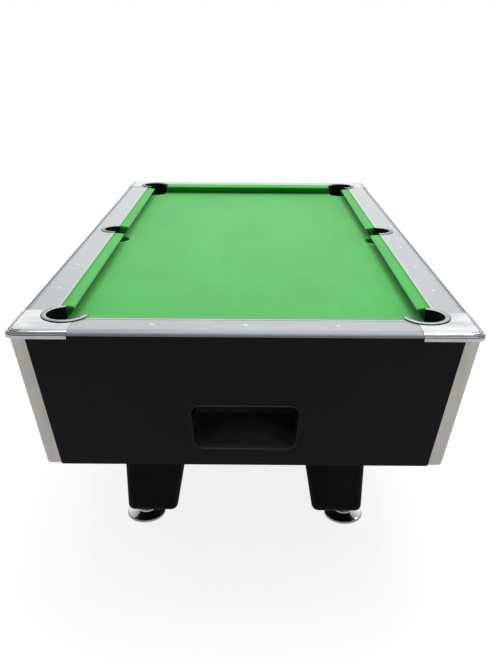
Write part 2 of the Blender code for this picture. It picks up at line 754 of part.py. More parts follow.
def build_playfield_edges():
    """Rails, castings and cushions round the bed."""
    half_x, half_y = TABLE_WIDTH / 2, TABLE_LENGTH / 2
    cuts = build_pocket_cutters()
    rails = (
        ("rail_right", half_x, half_y, 0, ("front_right", "right", "rear_right")),
        ("rail_left", half_x, half_y, 180, ("front_left", "left", "rear_left")),
        ("rail_rear", half_y, half_x, 90, ("rear_left", "rear_right")),
        ("rail_front", half_y, half_x, -90, ("front_left", "front_right")),
    )
    for name, half, half_along, turn, pockets in rails:
        build_rail(name, half, half_along, turn, [cuts[pocket] for pocket in pockets])
    for corner, (sign_x, sign_y) in CORNERS.items():
        build_casting("corner_casting_" + corner, sign_x, sign_y, cuts[corner])
    near = SIDE_JAW
    far = CORNER_POCKET_Y - CORNER_JAW_ON_SIDE
    across = CORNER_POCKET_X - CORNER_JAW_ON_END
    build_cushion("cushion_right_rear", half_x, near, far, 0)
    build_cushion("cushion_right_front", half_x, -far, -near, 0)
    build_cushion("cushion_left_front", half_x, near, far, 180)
    build_cushion("cushion_left_rear", half_x, -far, -near, 180)
    build_cushion("cushion_rear", half_y, -across, across, 90)
    build_cushion("cushion_front", half_y, -across, across, -90)


# Pockets


def build_liner(name, place_x, place_y, radius, mouth_angle, facing, rim_bottom):
    """A pocket tube with a rim, its rim and collar cut away towards the bed."""
    outer = radius + LINER_WALL
    rim = outer + LINER_RIM_WIDTH
    rim_top = rim_bottom + LINER_RIM_THICKNESS
    profile = [
        (radius, rim_top), (rim, rim_top), (rim, rim_bottom), (outer, rim_bottom),
        (outer, LINER_BOTTOM), (radius, LINER_BOTTOM),
    ]
    place = Matrix.Translation((place_x, place_y, 0))
    liner = add_turned(name, profile, POCKET_STEPS, RUBBER, place, closed=True)
    spread = math.degrees(mouth_angle) / 2
    reach = 2 * rim
    wedge = [(0, 0)] + arc((0, 0), reach, facing - spread, facing + spread, ARC_STEPS)
    low = BED_TOP - LINER_MOUTH_DROP
    high = rim_top + LINER_RIM_THICKNESS
    middle = (place_x, place_y, (low + high) / 2)
    mouth = add_outline(name + "_mouth", wedge, high - low, "XY", middle, None)
    return combine(liner, mouth, "DIFFERENCE")


def build_liners():
    """Six pocket liners, the corner ones seated on the castings and the side ones on the rails."""
    for corner, (sign_x, sign_y) in CORNERS.items():
        facing = math.degrees(math.atan2(-sign_y, -sign_x))
        build_liner(
            "pocket_liner_" + corner, sign_x * CORNER_POCKET_X, sign_y * CORNER_POCKET_Y,
            CORNER_POCKET_RADIUS, CORNER_MOUTH_ANGLE, facing,
            TABLE_HEIGHT + CASTING_PROUD + SEAT_GAP,
        )
    for side, sign, facing in (("left", -1, 0), ("right", 1, 180)):
        build_liner(
            "pocket_liner_" + side, sign * SIDE_POCKET_X, 0, SIDE_POCKET_RADIUS,
            SIDE_MOUTH_ANGLE, facing, TABLE_HEIGHT + SEAT_GAP,
        )


# Troughs under the slate


PAN_FRONT = CORNER_POCKET_Y - CORNER_POCKET_RADIUS - LINER_WALL - PAN_POCKET_CLEARANCE
GUTTER_REAR = PAN_FRONT - TROUGH_JOINT
GUTTER_SLOPE = GUTTER_FALL / (GUTTER_REAR + CORNER_POCKET_Y)
LANE_SLOPE = LANE_FALL / (GUTTER_REAR - LANE_FRONT)


def gutter_floor(along):
    """Height of a gutter's floor, which leaves a ball room under the front pockets."""
    return LINER_BOTTOM - BALL_ROOM - GUTTER_SLOPE * (along + CORNER_POCKET_Y)


def pan_floor(across):
    """Height of the rear pan's floor, which falls towards the middle."""
    return gutter_floor(GUTTER_REAR) - PAN_STEP - PAN_SLOPE * (GUTTER_OUTER - abs(across))


def lane_floor(along):
    """Height of the storage lane's floor, which falls towards the gate."""
    return pan_floor(0) - LANE_STEP - LANE_SLOPE * (GUTTER_REAR - along)


GUTTER_OUTER = inside_width(gutter_floor(GUTTER_REAR) - GUTTER_WALL) - GUTTER_CLEARANCE
GUTTER_X = GUTTER_OUTER - GUTTER_WALL - GUTTER_WIDTH / 2
GUTTER_INNER = GUTTER_X - GUTTER_WIDTH / 2 - GUTTER_WALL
GUTTER_FRONT = GUTTER_END_CLEARANCE - inside_length(gutter_floor(-CORNER_POCKET_Y) - GUTTER_WALL)
PAN_SLOPE = PAN_FALL / GUTTER_OUTER
LANE_OUTER = LANE_WIDTH / 2 + LANE_WALL


def build_trough(name, across, start, end, floor, slope, section):
    """A sloping U-shaped trough of plywood along the table."""
    angle = math.atan(slope)
    middle = (start + end) / 2
    length = (end - start) / math.cos(angle)
    place = Matrix.Translation((across, middle, floor(middle)))
    place = place @ Matrix.Rotation(angle, 4, "X")
    return add_outline(name, section, length, "XZ", (0, 0, 0), PLYWOOD, None, place)


def build_rear_pan():
    """A cross trough at the far end that gathers both gutters into the lane."""
    edge = GUTTER_OUTER
    inner = edge - GUTTER_WALL
    top = pan_floor(edge) + PAN_WALL_HEIGHT
    section = [
        (0, pan_floor(0) - GUTTER_WALL), (edge, pan_floor(edge) - GUTTER_WALL), (edge, top),
        (inner, top), (inner, pan_floor(inner)), (0, pan_floor(0)), (-inner, pan_floor(inner)),
        (-inner, top), (-edge, top), (-edge, pan_floor(edge) - GUTTER_WALL),
    ]
    rear = inside_length(pan_floor(0) - GUTTER_WALL)
    pan = add_outline(
        "rear_pan", section, rear - PAN_FRONT, "XZ", (0, (PAN_FRONT + rear) / 2, 0), PLYWOOD
    )
    for side, sign in (("left", -1), ("right", 1)):
        start, end = LANE_OUTER, GUTTER_INNER
        wall = [
            (sign * start, pan_floor(start) - GUTTER_WALL / 2),
            (sign * end, pan_floor(end) - GUTTER_WALL / 2), (sign * end, top), (sign * start, top),
        ]
        middle = (0, PAN_FRONT + GUTTER_WALL / 2, 0)
        joined = add_outline("pan_wall_" + side, wall, GUTTER_WALL, "XZ", middle, None)
        combine(pan, joined, "UNION")
    return pan


def build_trough_bearer(name, along):
    """A cross beam with raised ends: the lane lies on its middle, the gutters on its ends."""
    rear, front = along + BEARER_DEPTH / 2, along - BEARER_DEPTH / 2
    slack = SEAT_GAP + GUTTER_WALL * GUTTER_SLOPE
    lane_seat = lane_floor(front) - LANE_WALL - slack
    gutter_seat = gutter_floor(rear) - GUTTER_WALL - slack
    bottom = lane_seat - TROUGH_BEARER_HEIGHT
    outline = [
        (-inside_width(bottom), bottom), (inside_width(bottom), bottom),
        (inside_width(gutter_seat), gutter_seat), (GUTTER_INNER, gutter_seat),
        (GUTTER_INNER, lane_seat), (-GUTTER_INNER, lane_seat),
        (-GUTTER_INNER, gutter_seat), (-inside_width(gutter_seat), gutter_seat),
    ]
    add_outline(name, outline, BEARER_DEPTH, "XZ", (0, along, 0), PLYWOOD)


def build_troughs():
    """Both gutters, the rear pan, the storage lane and their bearers."""
    gutter = channel_outline(GUTTER_WIDTH, GUTTER_WALL, GUTTER_WALL_HEIGHT)
    for side, sign in (("left", -1), ("right", 1)):
        build_trough(
            "gutter_" + side, sign * GUTTER_X, GUTTER_FRONT, GUTTER_REAR, gutter_floor,
            -GUTTER_SLOPE, gutter,
        )
    build_rear_pan()
    lane = channel_outline(LANE_WIDTH, LANE_WALL, LANE_WALL_HEIGHT)
    build_trough("storage_lane", 0, LANE_FRONT, GUTTER_REAR, lane_floor, LANE_SLOPE, lane)


# Release gate


GATE_Y = LANE_FRONT - GATE_THICKNESS / 2 - 2 * RUNNING_GAP
GATE_BOTTOM = lane_floor(LANE_FRONT) + GATE_LANE_GAP
GATE_TOP = GATE_BOTTOM + GATE_HEIGHT
POST_INNER = LANE_OUTER + RUNNING_GAP
POST_FRONT = GATE_Y - GATE_THICKNESS / 2 - RUNNING_GAP - GATE_POST_WALL
ARM_REAR = POST_FRONT - RUNNING_GAP
ARM_FRONT = ARM_REAR - ARM_THICKNESS
UNIT_Y = ARM_FRONT - PIN_LENGTH / 2
PIN_X = POST_INNER + GATE_POST_WIDTH + ARM_REACH
PIN_Z = (GATE_BOTTOM + GATE_TOP) / 2


def gate_ratio():
    """Lift of the gate for each metre of coin slide, with the ramp at 45 degrees to the slide."""
    return math.sin(TAPER_ANGLE) + math.cos(TAPER_ANGLE) * math.tan(math.pi / 4 - TAPER_ANGLE)


def build_gate_frame():
    """Two slotted posts on the cabinet floor, with a sill that carries the lane's front end."""
    low = FLOOR_TOP + SEAT_GAP
    high = GATE_TOP + COIN_STROKE * gate_ratio() + GATE_POST_MARGIN
    seat = lane_floor(LANE_FRONT) - LANE_WALL - SEAT_GAP
    inner, outer = POST_INNER, POST_INNER + GATE_POST_WIDTH
    outline = [
        (inner, low), (outer, low), (outer, high), (inner, high), (inner, seat), (-inner, seat),
        (-inner, high), (-outer, high), (-outer, low), (-inner, low),
        (-inner, seat - SILL_HEIGHT), (inner, seat - SILL_HEIGHT),
    ]
    rear = GATE_Y + GATE_THICKNESS / 2 + RUNNING_GAP + SILL_DEPTH
    middle = (0, (POST_FRONT + rear) / 2, 0)
    frame = add_outline("gate_frame", outline, rear - POST_FRONT, "XZ", middle, STEEL)
    slot = GATE_THICKNESS / 2 + RUNNING_GAP
    reach = POST_INNER + GATE_SLOT_DEPTH + RUNNING_GAP
    slots = add_block(
        "gate_slots", (-reach, GATE_Y - slot, seat - RUNNING_GAP),
        (reach, GATE_Y + slot, high + GATE_POST_MARGIN), None,
    )
    return combine(frame, slots, "DIFFERENCE")


def build_release_gate():
    """A plate that slides up in the posts, with an arm and a pin that ride on the ramp."""
    half = POST_INNER + GATE_SLOT_DEPTH
    front = GATE_Y - GATE_THICKNESS / 2
    gate = add_block(
        "release_gate", (-half, front, GATE_BOTTOM), (half, front + GATE_THICKNESS, GATE_TOP), STEEL
    )
    lap = GATE_THICKNESS / 2
    block_end = POST_INNER - RUNNING_GAP
    low, high = PIN_Z - ARM_HEIGHT / 2, PIN_Z + ARM_HEIGHT / 2
    block = add_block(
        "gate_arm_block", (block_end - ARM_BLOCK_WIDTH, ARM_REAR - lap, low),
        (block_end, front + lap, high), None,
    )
    arm = add_block(
        "gate_arm", (block_end - ARM_BLOCK_WIDTH - lap, ARM_FRONT, low - lap),
        (PIN_X + 2 * PIN_RADIUS, ARM_REAR, high + lap), None,
    )
    place = Matrix.Translation((PIN_X, ARM_FRONT, PIN_Z)) @ PLANES["XZ"]
    pin = add_cylinder(
        "gate_pin", PIN_RADIUS, -ARM_THICKNESS / 2, PIN_LENGTH, SMALL_STEPS, None, place
    )
    for piece in (block, arm, pin):
        combine(gate, piece, "UNION")
    return gate


# Ball return


def return_outline(grow):
    """The outline of the return opening, grown on every side: wider at its top than at its foot."""
    outline = rounded_rectangle(
        RETURN_WIDTH + 2 * grow, RETURN_HEIGHT + 2 * grow, RETURN_RADIUS + grow
    )
    return [(x * (1 + RETURN_TAPER * z / RETURN_HEIGHT), z) for x, z in outline]


def build_return(front_panel):
    """The return opening with its bezel, in the leaning plane of the front panel."""
    plane = bpy.data.objects.new("return_plane", None)
    PARTS.objects.link(plane)
    plane.location = (0, -half_length(RETURN_CENTRE_HEIGHT), RETURN_CENTRE_HEIGHT)
    plane.rotation_euler = (TAPER_ANGLE, 0, 0)
    through = 4 * PANEL_THICKNESS
    cut = add_outline("return_cut", return_outline(0), through, "XZ", (0, 0, 0), None, plane)
    combine(front_panel, cut, "DIFFERENCE")
    thickness = BEZEL_PROUD - SEAT_GAP
    middle = (0, -SEAT_GAP - thickness / 2, 0)
    flange = return_outline(BEZEL_FLANGE)
    bezel = add_outline("return_bezel", flange, thickness, "XZ", middle, PLASTIC, plane)
    deep = PANEL_THICKNESS * math.cos(TAPER_ANGLE)
    front = -BEZEL_PROUD / 2
    middle = (0, (front + deep) / 2, 0)
    sleeve = return_outline(-SEAT_GAP)
    body = add_outline("bezel_sleeve", sleeve, deep - front, "XZ", middle, None, plane)
    combine(bezel, body, "UNION")
    hole = return_outline(-SEAT_GAP - BEZEL_WALL)
    mouth = add_outline("bezel_mouth", hole, through, "XZ", (0, 0, 0), None, plane)
    combine(bezel, mouth, "DIFFERENCE")


def build_return_tray():
    """A tray behind the opening: two skids on the cabinet floor, a raised floor and a back."""
    low = FLOOR_TOP + SEAT_GAP
    floor_top = RETURN_CENTRE_HEIGHT - RETURN_HEIGHT / 2 + BEZEL_WALL + SEAT_GAP
    floor_low = floor_top - TRAY_WALL
    inner = RETURN_WIDTH / 2
    outer = inner + TRAY_WALL
    side_top = floor_top + TRAY_SIDE_HEIGHT
    section = [
        (-outer, low), (-inner, low), (-inner, floor_low), (inner, floor_low), (inner, low),
        (outer, low), (outer, side_top), (inner, side_top), (inner, floor_top),
        (-inner, floor_top), (-inner, side_top), (-outer, side_top),
    ]
    front = -inside_length(low)
    rear = POST_FRONT - SEAT_GAP
    middle = (0, (front + rear) / 2, 0)
    tray = add_outline("return_tray", section, rear - front, "XZ", middle, PLASTIC)
    lap = TRAY_WALL / 2
    back = add_block(
        "tray_back", (-inner - lap, rear - TRAY_WALL, floor_low + lap),
        (inner + lap, rear - SEAT_GAP, floor_top + TRAY_BACK_HEIGHT), None,
    )
    return combine(tray, back, "UNION")


# Coin unit, in a frame that leans with the right side panel: X out of the panel, Z up along it


UNIT_X = half_width(UNIT_HEIGHT)
PIN_IN_UNIT_X = (
    (PIN_X - UNIT_X) * math.cos(TAPER_ANGLE) - (PIN_Z - UNIT_HEIGHT) * math.sin(TAPER_ANGLE)
)
PIN_IN_UNIT_Z = (
    (PIN_X - UNIT_X) * math.sin(TAPER_ANGLE) + (PIN_Z - UNIT_HEIGHT) * math.cos(TAPER_ANGLE)
)
RAMP_OFFSET = (PIN_RADIUS + SEAT_GAP) / math.sqrt(2)
RAMP_TOUCH_X = PIN_IN_UNIT_X + RAMP_OFFSET
RAMP_TOUCH_Z = PIN_IN_UNIT_Z - RAMP_OFFSET
BAR_TOP = RAMP_TOUCH_Z + COIN_STROKE + RAMP_SPARE
SLIDE_Z = BAR_TOP - BAR_HEIGHT - SEAT_GAP - TONGUE_THICKNESS / 2
RECESS_BOTTOM = SLIDE_Z - RECESS_HEIGHT / 2
RECESS_TOP = SLIDE_Z + RECESS_HEIGHT / 2
DOOR_TOP = RECESS_BOTTOM - DOOR_BELOW_RECESS
DOOR_BOTTOM = DOOR_TOP - DOOR_HEIGHT
DOOR_MIDDLE = (DOOR_TOP + DOOR_BOTTOM) / 2
PANEL_BACK = -PANEL_THICKNESS * math.cos(TAPER_ANGLE)
HOUSING_BACK = -RECESS_DEPTH - HOUSING_LENGTH
HINGE_X = DOOR_BACK + DOOR_THICKNESS + KNUCKLE_RADIUS + RUNNING_GAP
HINGE_Y = -DOOR_WIDTH / 2 - DOOR_CLEARANCE / 2
LOCK_Y = DOOR_WIDTH / 2 - LOCK_EDGE_INSET
HANDLE_INNER = HANDLE_REST_GAP + COIN_STROKE - RECESS_DEPTH


def unit_frame():
    """An empty on the right side panel for the coin unit's pieces."""
    empty = bpy.data.objects.new("coin_unit_frame", None)
    PARTS.objects.link(empty)
    empty.location = (UNIT_X, UNIT_Y, UNIT_HEIGHT)
    empty.rotation_euler = (0, TAPER_ANGLE, 0)
    return empty


def build_coin_body(frame, side_panel):
    """The face plate with the slide's recess and housing, and the cash door's opening."""
    cut_half = PLATE_WIDTH / 2 - PANEL_CUT_MARGIN
    low, high = DOOR_BOTTOM - PLATE_MARGIN, RECESS_TOP + PLATE_MARGIN
    panel_cut = add_block(
        "coin_panel_cut", (2 * PANEL_BACK, -cut_half, low + PANEL_CUT_MARGIN),
        (PANEL_THICKNESS, cut_half, high - PANEL_CUT_MARGIN), None, frame,
    )
    combine(side_panel, panel_cut, "DIFFERENCE")
    body = add_block(
        "coin_unit_body", (SEAT_GAP, -PLATE_WIDTH / 2, low),
        (PLATE_THICKNESS, PLATE_WIDTH / 2, high), STEEL, frame,
    )
    lap = PLATE_THICKNESS / 2
    wall = RECESS_WALL
    recess = add_block(
        "coin_recess", (-RECESS_DEPTH - wall, -RECESS_WIDTH / 2 - wall, RECESS_BOTTOM - wall),
        (lap, RECESS_WIDTH / 2 + wall, RECESS_TOP + wall), None, frame,
    )
    housing = add_block(
        "coin_housing", (HOUSING_BACK, -HOUSING_WIDTH / 2, SLIDE_Z - HOUSING_HEIGHT / 2),
        (-RECESS_DEPTH - wall / 2, HOUSING_WIDTH / 2, SLIDE_Z + HOUSING_HEIGHT / 2), None, frame,
    )
    combine(body, recess, "UNION")
    combine(body, housing, "UNION")
    hollow = add_block(
        "coin_hollow", (-RECESS_DEPTH, -RECESS_WIDTH / 2, RECESS_BOTTOM),
        (2 * PLATE_THICKNESS, RECESS_WIDTH / 2, RECESS_TOP), None, frame,
    )
    slot_y = TONGUE_WIDTH / 2 + RUNNING_GAP
    slot_z = TONGUE_THICKNESS / 2 + RUNNING_GAP
    slot = add_block(
        "coin_slot", (2 * HOUSING_BACK, -slot_y, SLIDE_Z - slot_z),
        (-RECESS_DEPTH / 2, slot_y, SLIDE_Z + slot_z), None, frame,
    )
    drop = add_block(
        "coin_drop", (HOUSING_BACK + 2 * CHUTE_WALL, -COIN_RADIUS, SLIDE_Z - HOUSING_HEIGHT),
        (HOUSING_BACK + CHUTE_DEPTH - 2 * CHUTE_WALL, COIN_RADIUS, SLIDE_Z), None, frame,
    )
    door_y = DOOR_WIDTH / 2 + DOOR_CLEARANCE
    doorway = add_block(
        "cash_doorway", (-PLATE_THICKNESS, -door_y, DOOR_BOTTOM - DOOR_CLEARANCE),
        (2 * PLATE_THICKNESS, door_y, DOOR_TOP + DOOR_CLEARANCE), None, frame,
    )
    for cutter in (hollow, slot, drop, doorway):
        combine(body, cutter, "DIFFERENCE")
    for end, sign in (("lower", -1), ("upper", 1)):
        start = sign * (KNUCKLE_LENGTH / 2 + RUNNING_GAP)
        finish = sign * DOOR_HEIGHT / 2
        low_z, high_z = DOOR_MIDDLE + min(start, finish), DOOR_MIDDLE + max(start, finish)
        add_knuckle("plate_knuckle_" + end, body, frame, low_z, high_z, -1)


def add_knuckle(name, piece, frame, low, high, side):
    """A round hinge knuckle and the lug that ties it to the plate or the door."""
    place = Matrix.Translation((HINGE_X, HINGE_Y, 0))
    knuckle = add_cylinder(name, KNUCKLE_RADIUS, low, high, SMALL_STEPS, None, place, frame)
    near = HINGE_Y + side * (DOOR_CLEARANCE / 2 + RUNNING_GAP)
    far = near + side * KNUCKLE_LUG
    base = PLATE_THICKNESS / 2 if side < 0 else DOOR_BACK + DOOR_THICKNESS / 2
    inset = RUNNING_GAP
    lug = add_block(
        name + "_lug", (base, min(near, far), low + inset), (HINGE_X, max(near, far), high - inset),
        None, frame,
    )
    combine(piece, lug, "UNION")
    combine(piece, knuckle, "UNION")


def build_coin_slide(frame):
    """The pushed tongue with two coin seats and a cross handle."""
    tail = HOUSING_BACK - TONGUE_TAIL
    outer = HANDLE_INNER + HANDLE_THICKNESS
    slide = add_block(
        "coin_slide", (tail, -TONGUE_WIDTH / 2, SLIDE_Z - TONGUE_THICKNESS / 2),
        (outer - HANDLE_THICKNESS / 2, TONGUE_WIDTH / 2, SLIDE_Z + TONGUE_THICKNESS / 2), CHROME,
        frame,
    )
    handle = add_block(
        "slide_handle", (HANDLE_INNER, -HANDLE_WIDTH / 2, SLIDE_Z - HANDLE_HEIGHT / 2),
        (outer, HANDLE_WIDTH / 2, SLIDE_Z + HANDLE_HEIGHT / 2), None, frame,
    )
    combine(slide, handle, "UNION")
    for index in range(2):
        seat_x = HANDLE_INNER - COIN_SPACING * (index + 0.5)
        place = Matrix.Translation((seat_x, 0, 0))
        seat = add_cylinder(
            "coin_seat_%d" % index, COIN_RADIUS, SLIDE_Z - TONGUE_THICKNESS,
            SLIDE_Z + TONGUE_THICKNESS, SMALL_STEPS, None, place, frame,
        )
        combine(slide, seat, "DIFFERENCE")
    return slide


def build_release_bar(frame):
    """A bar on the tongue's tail whose ramp lifts the gate's pin."""
    rise = COIN_STROKE + RAMP_SPARE
    foot = (RAMP_TOUCH_X - RAMP_FOOT, RAMP_TOUCH_Z - RAMP_FOOT)
    crest = (RAMP_TOUCH_X + rise, BAR_TOP)
    under = BAR_TOP - BAR_HEIGHT
    end = HOUSING_BACK - BAR_HOUSING_GAP
    outline = [
        foot, (foot[0] + RAMP_WIDTH, foot[1]),
        (foot[0] + RAMP_WIDTH + under - foot[1], under),
        (end, under), (end, BAR_TOP), crest,
    ]
    return add_outline("release_bar", outline, BAR_THICKNESS, "XZ", (0, 0, 0), STEEL, frame)


def build_cash_door(frame):
    """A steel door hung on the face plate, with a hole for its lock."""
    door = add_block(
        "cash_door", (DOOR_BACK, -DOOR_WIDTH / 2, DOOR_BOTTOM),
        (DOOR_BACK + DOOR_THICKNESS, DOOR_WIDTH / 2, DOOR_TOP), STEEL, frame,
    )
    half = KNUCKLE_LENGTH / 2
    add_knuckle("door_knuckle", door, frame, DOOR_MIDDLE - half, DOOR_MIDDLE + half, 1)
    place = Matrix.Translation((0, LOCK_Y, DOOR_MIDDLE)) @ PLANES["YZ"]
    hole = add_cylinder(
        "lock_hole", LOCK_RADIUS + RUNNING_GAP, -DOOR_THICKNESS, 2 * DOOR_THICKNESS, SMALL_STEPS,
        None, place, frame,
    )
    combine(door, hole, "DIFFERENCE")
    move_origin(door, (HINGE_X, HINGE_Y, DOOR_MIDDLE))


def build_cash_lock(frame):
    """A lock barrel in the door with a keyway in front and a cam behind."""
    place = Matrix.Translation((0, LOCK_Y, DOOR_MIDDLE)) @ PLANES["YZ"]
    face = DOOR_BACK + DOOR_THICKNESS + SEAT_GAP
    back = DOOR_BACK - LOCK_DEPTH
    lock = add_turned(
        "cash_lock",
        [
            (0, face + LOCK_HEAD_PROUD), (LOCK_HEAD_RADIUS, face + LOCK_HEAD_PROUD),
            (LOCK_HEAD_RADIUS, face), (LOCK_RADIUS, face), (LOCK_RADIUS, back), (0, back),
        ],
        SMALL_STEPS, BRASS, place, frame,
    )
    cam = add_block(
        "lock_cam", (back, LOCK_Y - CAM_WIDTH / 2, DOOR_MIDDLE),
        (back + CAM_THICKNESS, LOCK_Y + CAM_WIDTH / 2, DOOR_MIDDLE + CAM_LENGTH), None, frame,
    )
    head = face + LOCK_HEAD_PROUD
    keyway = add_block(
        "lock_keyway", (head - KEYWAY_DEPTH, LOCK_Y - KEYWAY_WIDTH / 2, DOOR_MIDDLE - KEYWAY_LENGTH / 2),
        (head + KEYWAY_DEPTH, LOCK_Y + KEYWAY_WIDTH / 2, DOOR_MIDDLE + KEYWAY_LENGTH / 2), None, frame,
    )
    combine(lock, cam, "UNION")
    combine(lock, keyway, "DIFFERENCE")


def build_coin_chute(frame):
    """A square tube under the housing that drops coins into the cash box."""
    top = SLIDE_Z - HOUSING_HEIGHT / 2 - SEAT_GAP
    half = COIN_RADIUS + 2 * CHUTE_WALL
    back = HOUSING_BACK
    chute = add_block(
        "coin_chute", (back, -half, top - CHUTE_LENGTH), (back + CHUTE_DEPTH, half, top), STEEL, frame
    )
    inner = half - CHUTE_WALL
    hollow = add_block(
        "chute_hollow", (back + CHUTE_WALL, -inner, top - 2 * CHUTE_LENGTH),
        (back + CHUTE_DEPTH - CHUTE_WALL, inner, top + CHUTE_WALL), None, frame,
    )
    combine(chute, hollow, "DIFFERENCE")


def build_cash_box():
    """An open tin on the cabinet floor, under the chute and behind the door."""
    low = FLOOR_TOP + SEAT_GAP
    outer = inside_width(low) - CASH_BOX_CLEARANCE
    inner = outer - CASH_BOX_DEPTH
    half = CASH_BOX_WIDTH / 2
    box = add_block(
        "cash_box", (inner, UNIT_Y - half, low), (outer, UNIT_Y + half, low + CASH_BOX_HEIGHT), STEEL
    )
    wall = CASH_BOX_WALL
    hollow = add_block(
        "cash_hollow", (inner + wall, UNIT_Y - half + wall, low + wall),
        (outer - wall, UNIT_Y + half - wall, low + 2 * CASH_BOX_HEIGHT), None,
    )
    return combine(box, hollow, "DIFFERENCE")


def build_table():
    """Build every piece of the table."""
    panels = build_panels()
    build_cabinet_floor()
    for corner, (sign_x, sign_y) in CORNERS.items():
        build_corner_post("corner_post_" + corner, sign_x, sign_y)
        build_leg("leg_" + corner, sign_x, sign_y)
        build_leveller("leveller_" + corner, sign_x, sign_y)
    build_bed()
    for end, sign in (("front", -1), ("rear", 1)):
        build_slate_bearer("slate_bearer_" + end, sign * BEARER_Y)
        build_trough_bearer("trough_bearer_" + end, sign * BEARER_Y)
    build_playfield_edges()
    build_liners()
    build_troughs()
    build_gate_frame()
    build_release_gate()
    build_return(panels["end_panel_front"])
    build_return_tray()
    frame = unit_frame()
    build_coin_body(frame, panels["side_panel_right"])
    build_coin_slide(frame)
    build_release_bar(frame)
    build_cash_door(frame)
    build_cash_lock(frame)
    build_coin_chute(frame)
    build_cash_box()


build_table()
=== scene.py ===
import math

import bmesh
import bpy
from mathutils import Matrix, Vector


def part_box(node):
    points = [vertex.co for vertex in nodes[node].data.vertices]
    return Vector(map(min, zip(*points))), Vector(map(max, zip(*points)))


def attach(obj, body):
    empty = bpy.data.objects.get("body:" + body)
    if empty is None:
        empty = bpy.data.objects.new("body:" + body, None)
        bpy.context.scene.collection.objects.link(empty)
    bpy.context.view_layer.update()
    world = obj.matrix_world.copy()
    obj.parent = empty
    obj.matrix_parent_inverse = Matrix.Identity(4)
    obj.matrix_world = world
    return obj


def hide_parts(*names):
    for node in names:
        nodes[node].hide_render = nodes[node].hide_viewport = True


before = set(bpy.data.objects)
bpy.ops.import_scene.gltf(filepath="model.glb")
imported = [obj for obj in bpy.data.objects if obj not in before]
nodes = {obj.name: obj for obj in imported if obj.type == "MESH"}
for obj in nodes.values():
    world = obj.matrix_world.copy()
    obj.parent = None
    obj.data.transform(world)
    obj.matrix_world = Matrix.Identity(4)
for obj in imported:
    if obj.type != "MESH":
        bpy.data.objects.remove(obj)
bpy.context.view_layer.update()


# Cabinet floor and the cross bearers that carry the troughs and the slate.
# Birch plywood, sawn square, glued and screwed between the panels. The floor is stained
# dark with its grain along the table; the bearers are left pale, grained across it.
def set_inputs(node, values):
    """Sets a shader node's inputs by name, with an underscore for a blank."""
    for socket, value in values.items():
        node.inputs[socket.replace("_", " ")].default_value = value


def add_node(tree, kind, settings=None, **inputs):
    """Adds a shader node with its settings and inputs."""
    node = tree.nodes.new("ShaderNode" + kind)
    for name, value in (settings or {}).items():
        setattr(node, name, value)
    set_inputs(node, inputs)
    return node


def connect(tree, *runs):
    """Links nodes, each run giving a node, its output, the next node and its input."""
    for source, out, target, into in runs:
        tree.links.new(source.outputs[out], target.inputs[into])


def patch_and_grain():
    """Node group: broad patches and a fine grain, each from 0 to 1."""
    group = bpy.data.node_groups.new("patches and grain", "ShaderNodeTree")
    group.interface.new_socket("Vector", in_out="INPUT", socket_type="NodeSocketVector")
    for name in ("Patch scale", "Grain scale"):
        group.interface.new_socket(name, in_out="INPUT", socket_type="NodeSocketFloat")
    for name in ("Patches", "Grain"):
        group.interface.new_socket(name, in_out="OUTPUT", socket_type="NodeSocketFloat")
    given, outcome = (group.nodes.new(kind) for kind in ("NodeGroupInput", "NodeGroupOutput"))
    for scale, name, detail, low, high in (("Patch scale", "Patches", 4.0, 0.36, 0.64),
                                           ("Grain scale", "Grain", 2.0, 0.25, 0.75)):
        noise = add_node(group, "TexNoise", Detail=detail)
        spread = add_node(group, "MapRange", From_Min=low, From_Max=high)
        connect(group, (given, "Vector", noise, "Vector"), (given, scale, noise, "Scale"),
                (noise, "Fac", spread, "Value"), (spread, "Result", outcome, name))
    return group


PATCHES = patch_and_grain()


def surface(name, dark, light, rough, patch=4.0, grain=300.0, bump=0.1, stretch=(1, 1, 1),
            depth=0.0005, **fixed):
    """A finish whose colour and gloss vary in patches, with a fine grain in relief."""
    finish = bpy.data.materials.new(name)
    finish.use_nodes = True
    tree = finish.node_tree
    shader = tree.nodes["Principled BSDF"]
    place = add_node(tree, "TexCoord")
    mapping = add_node(tree, "Mapping", Scale=stretch)
    pattern = add_node(tree, "Group", {"node_tree": PATCHES}, Patch_scale=patch, Grain_scale=grain)
    tone = add_node(tree, "Mix", {"data_type": "RGBA"}, A=(*dark, 1), B=(*light, 1))
    gloss = add_node(tree, "MapRange", To_Min=rough[0], To_Max=rough[1])
    relief = add_node(tree, "Bump", Strength=bump, Distance=depth)
    connect(tree, (place, "Object", mapping, "Vector"), (mapping, "Vector", pattern, "Vector"),
            (pattern, "Patches", tone, "Factor"), (pattern, "Patches", gloss, "Value"),
            (pattern, "Grain", relief, "Height"), (tone, "Result", shader, "Base Color"),
            (gloss, "Result", shader, "Roughness"), (relief, "Normal", shader, "Normal"))
    set_inputs(shader, fixed)
    return finish


def finish_node(material, *names):
    """Gives pieces that keep the frame's own mesh their finish."""
    for name in names:
        piece = nodes[name]
        if not piece.material_slots:
            piece.data.materials.append(material)
        for place in piece.material_slots:
            place.material = material


PLY = {"rough": (0.55, 0.72), "patch": 3.0, "grain": 160.0, "bump": 0.3}
STAINED_PLY = surface("stained plywood", (0.055, 0.046, 0.038), (0.10, 0.082, 0.064),
                      stretch=(14, 1, 14), **PLY)
BIRCH_PLY = surface("birch plywood", (0.36, 0.22, 0.11), (0.55, 0.38, 0.21),
                    stretch=(1, 14, 14), **PLY)
finish_node(STAINED_PLY, "cabinet_floor")
finish_node(BIRCH_PLY, "slate_bearer_front", "slate_bearer_rear", "trough_bearer_front",
            "trough_bearer_rear")


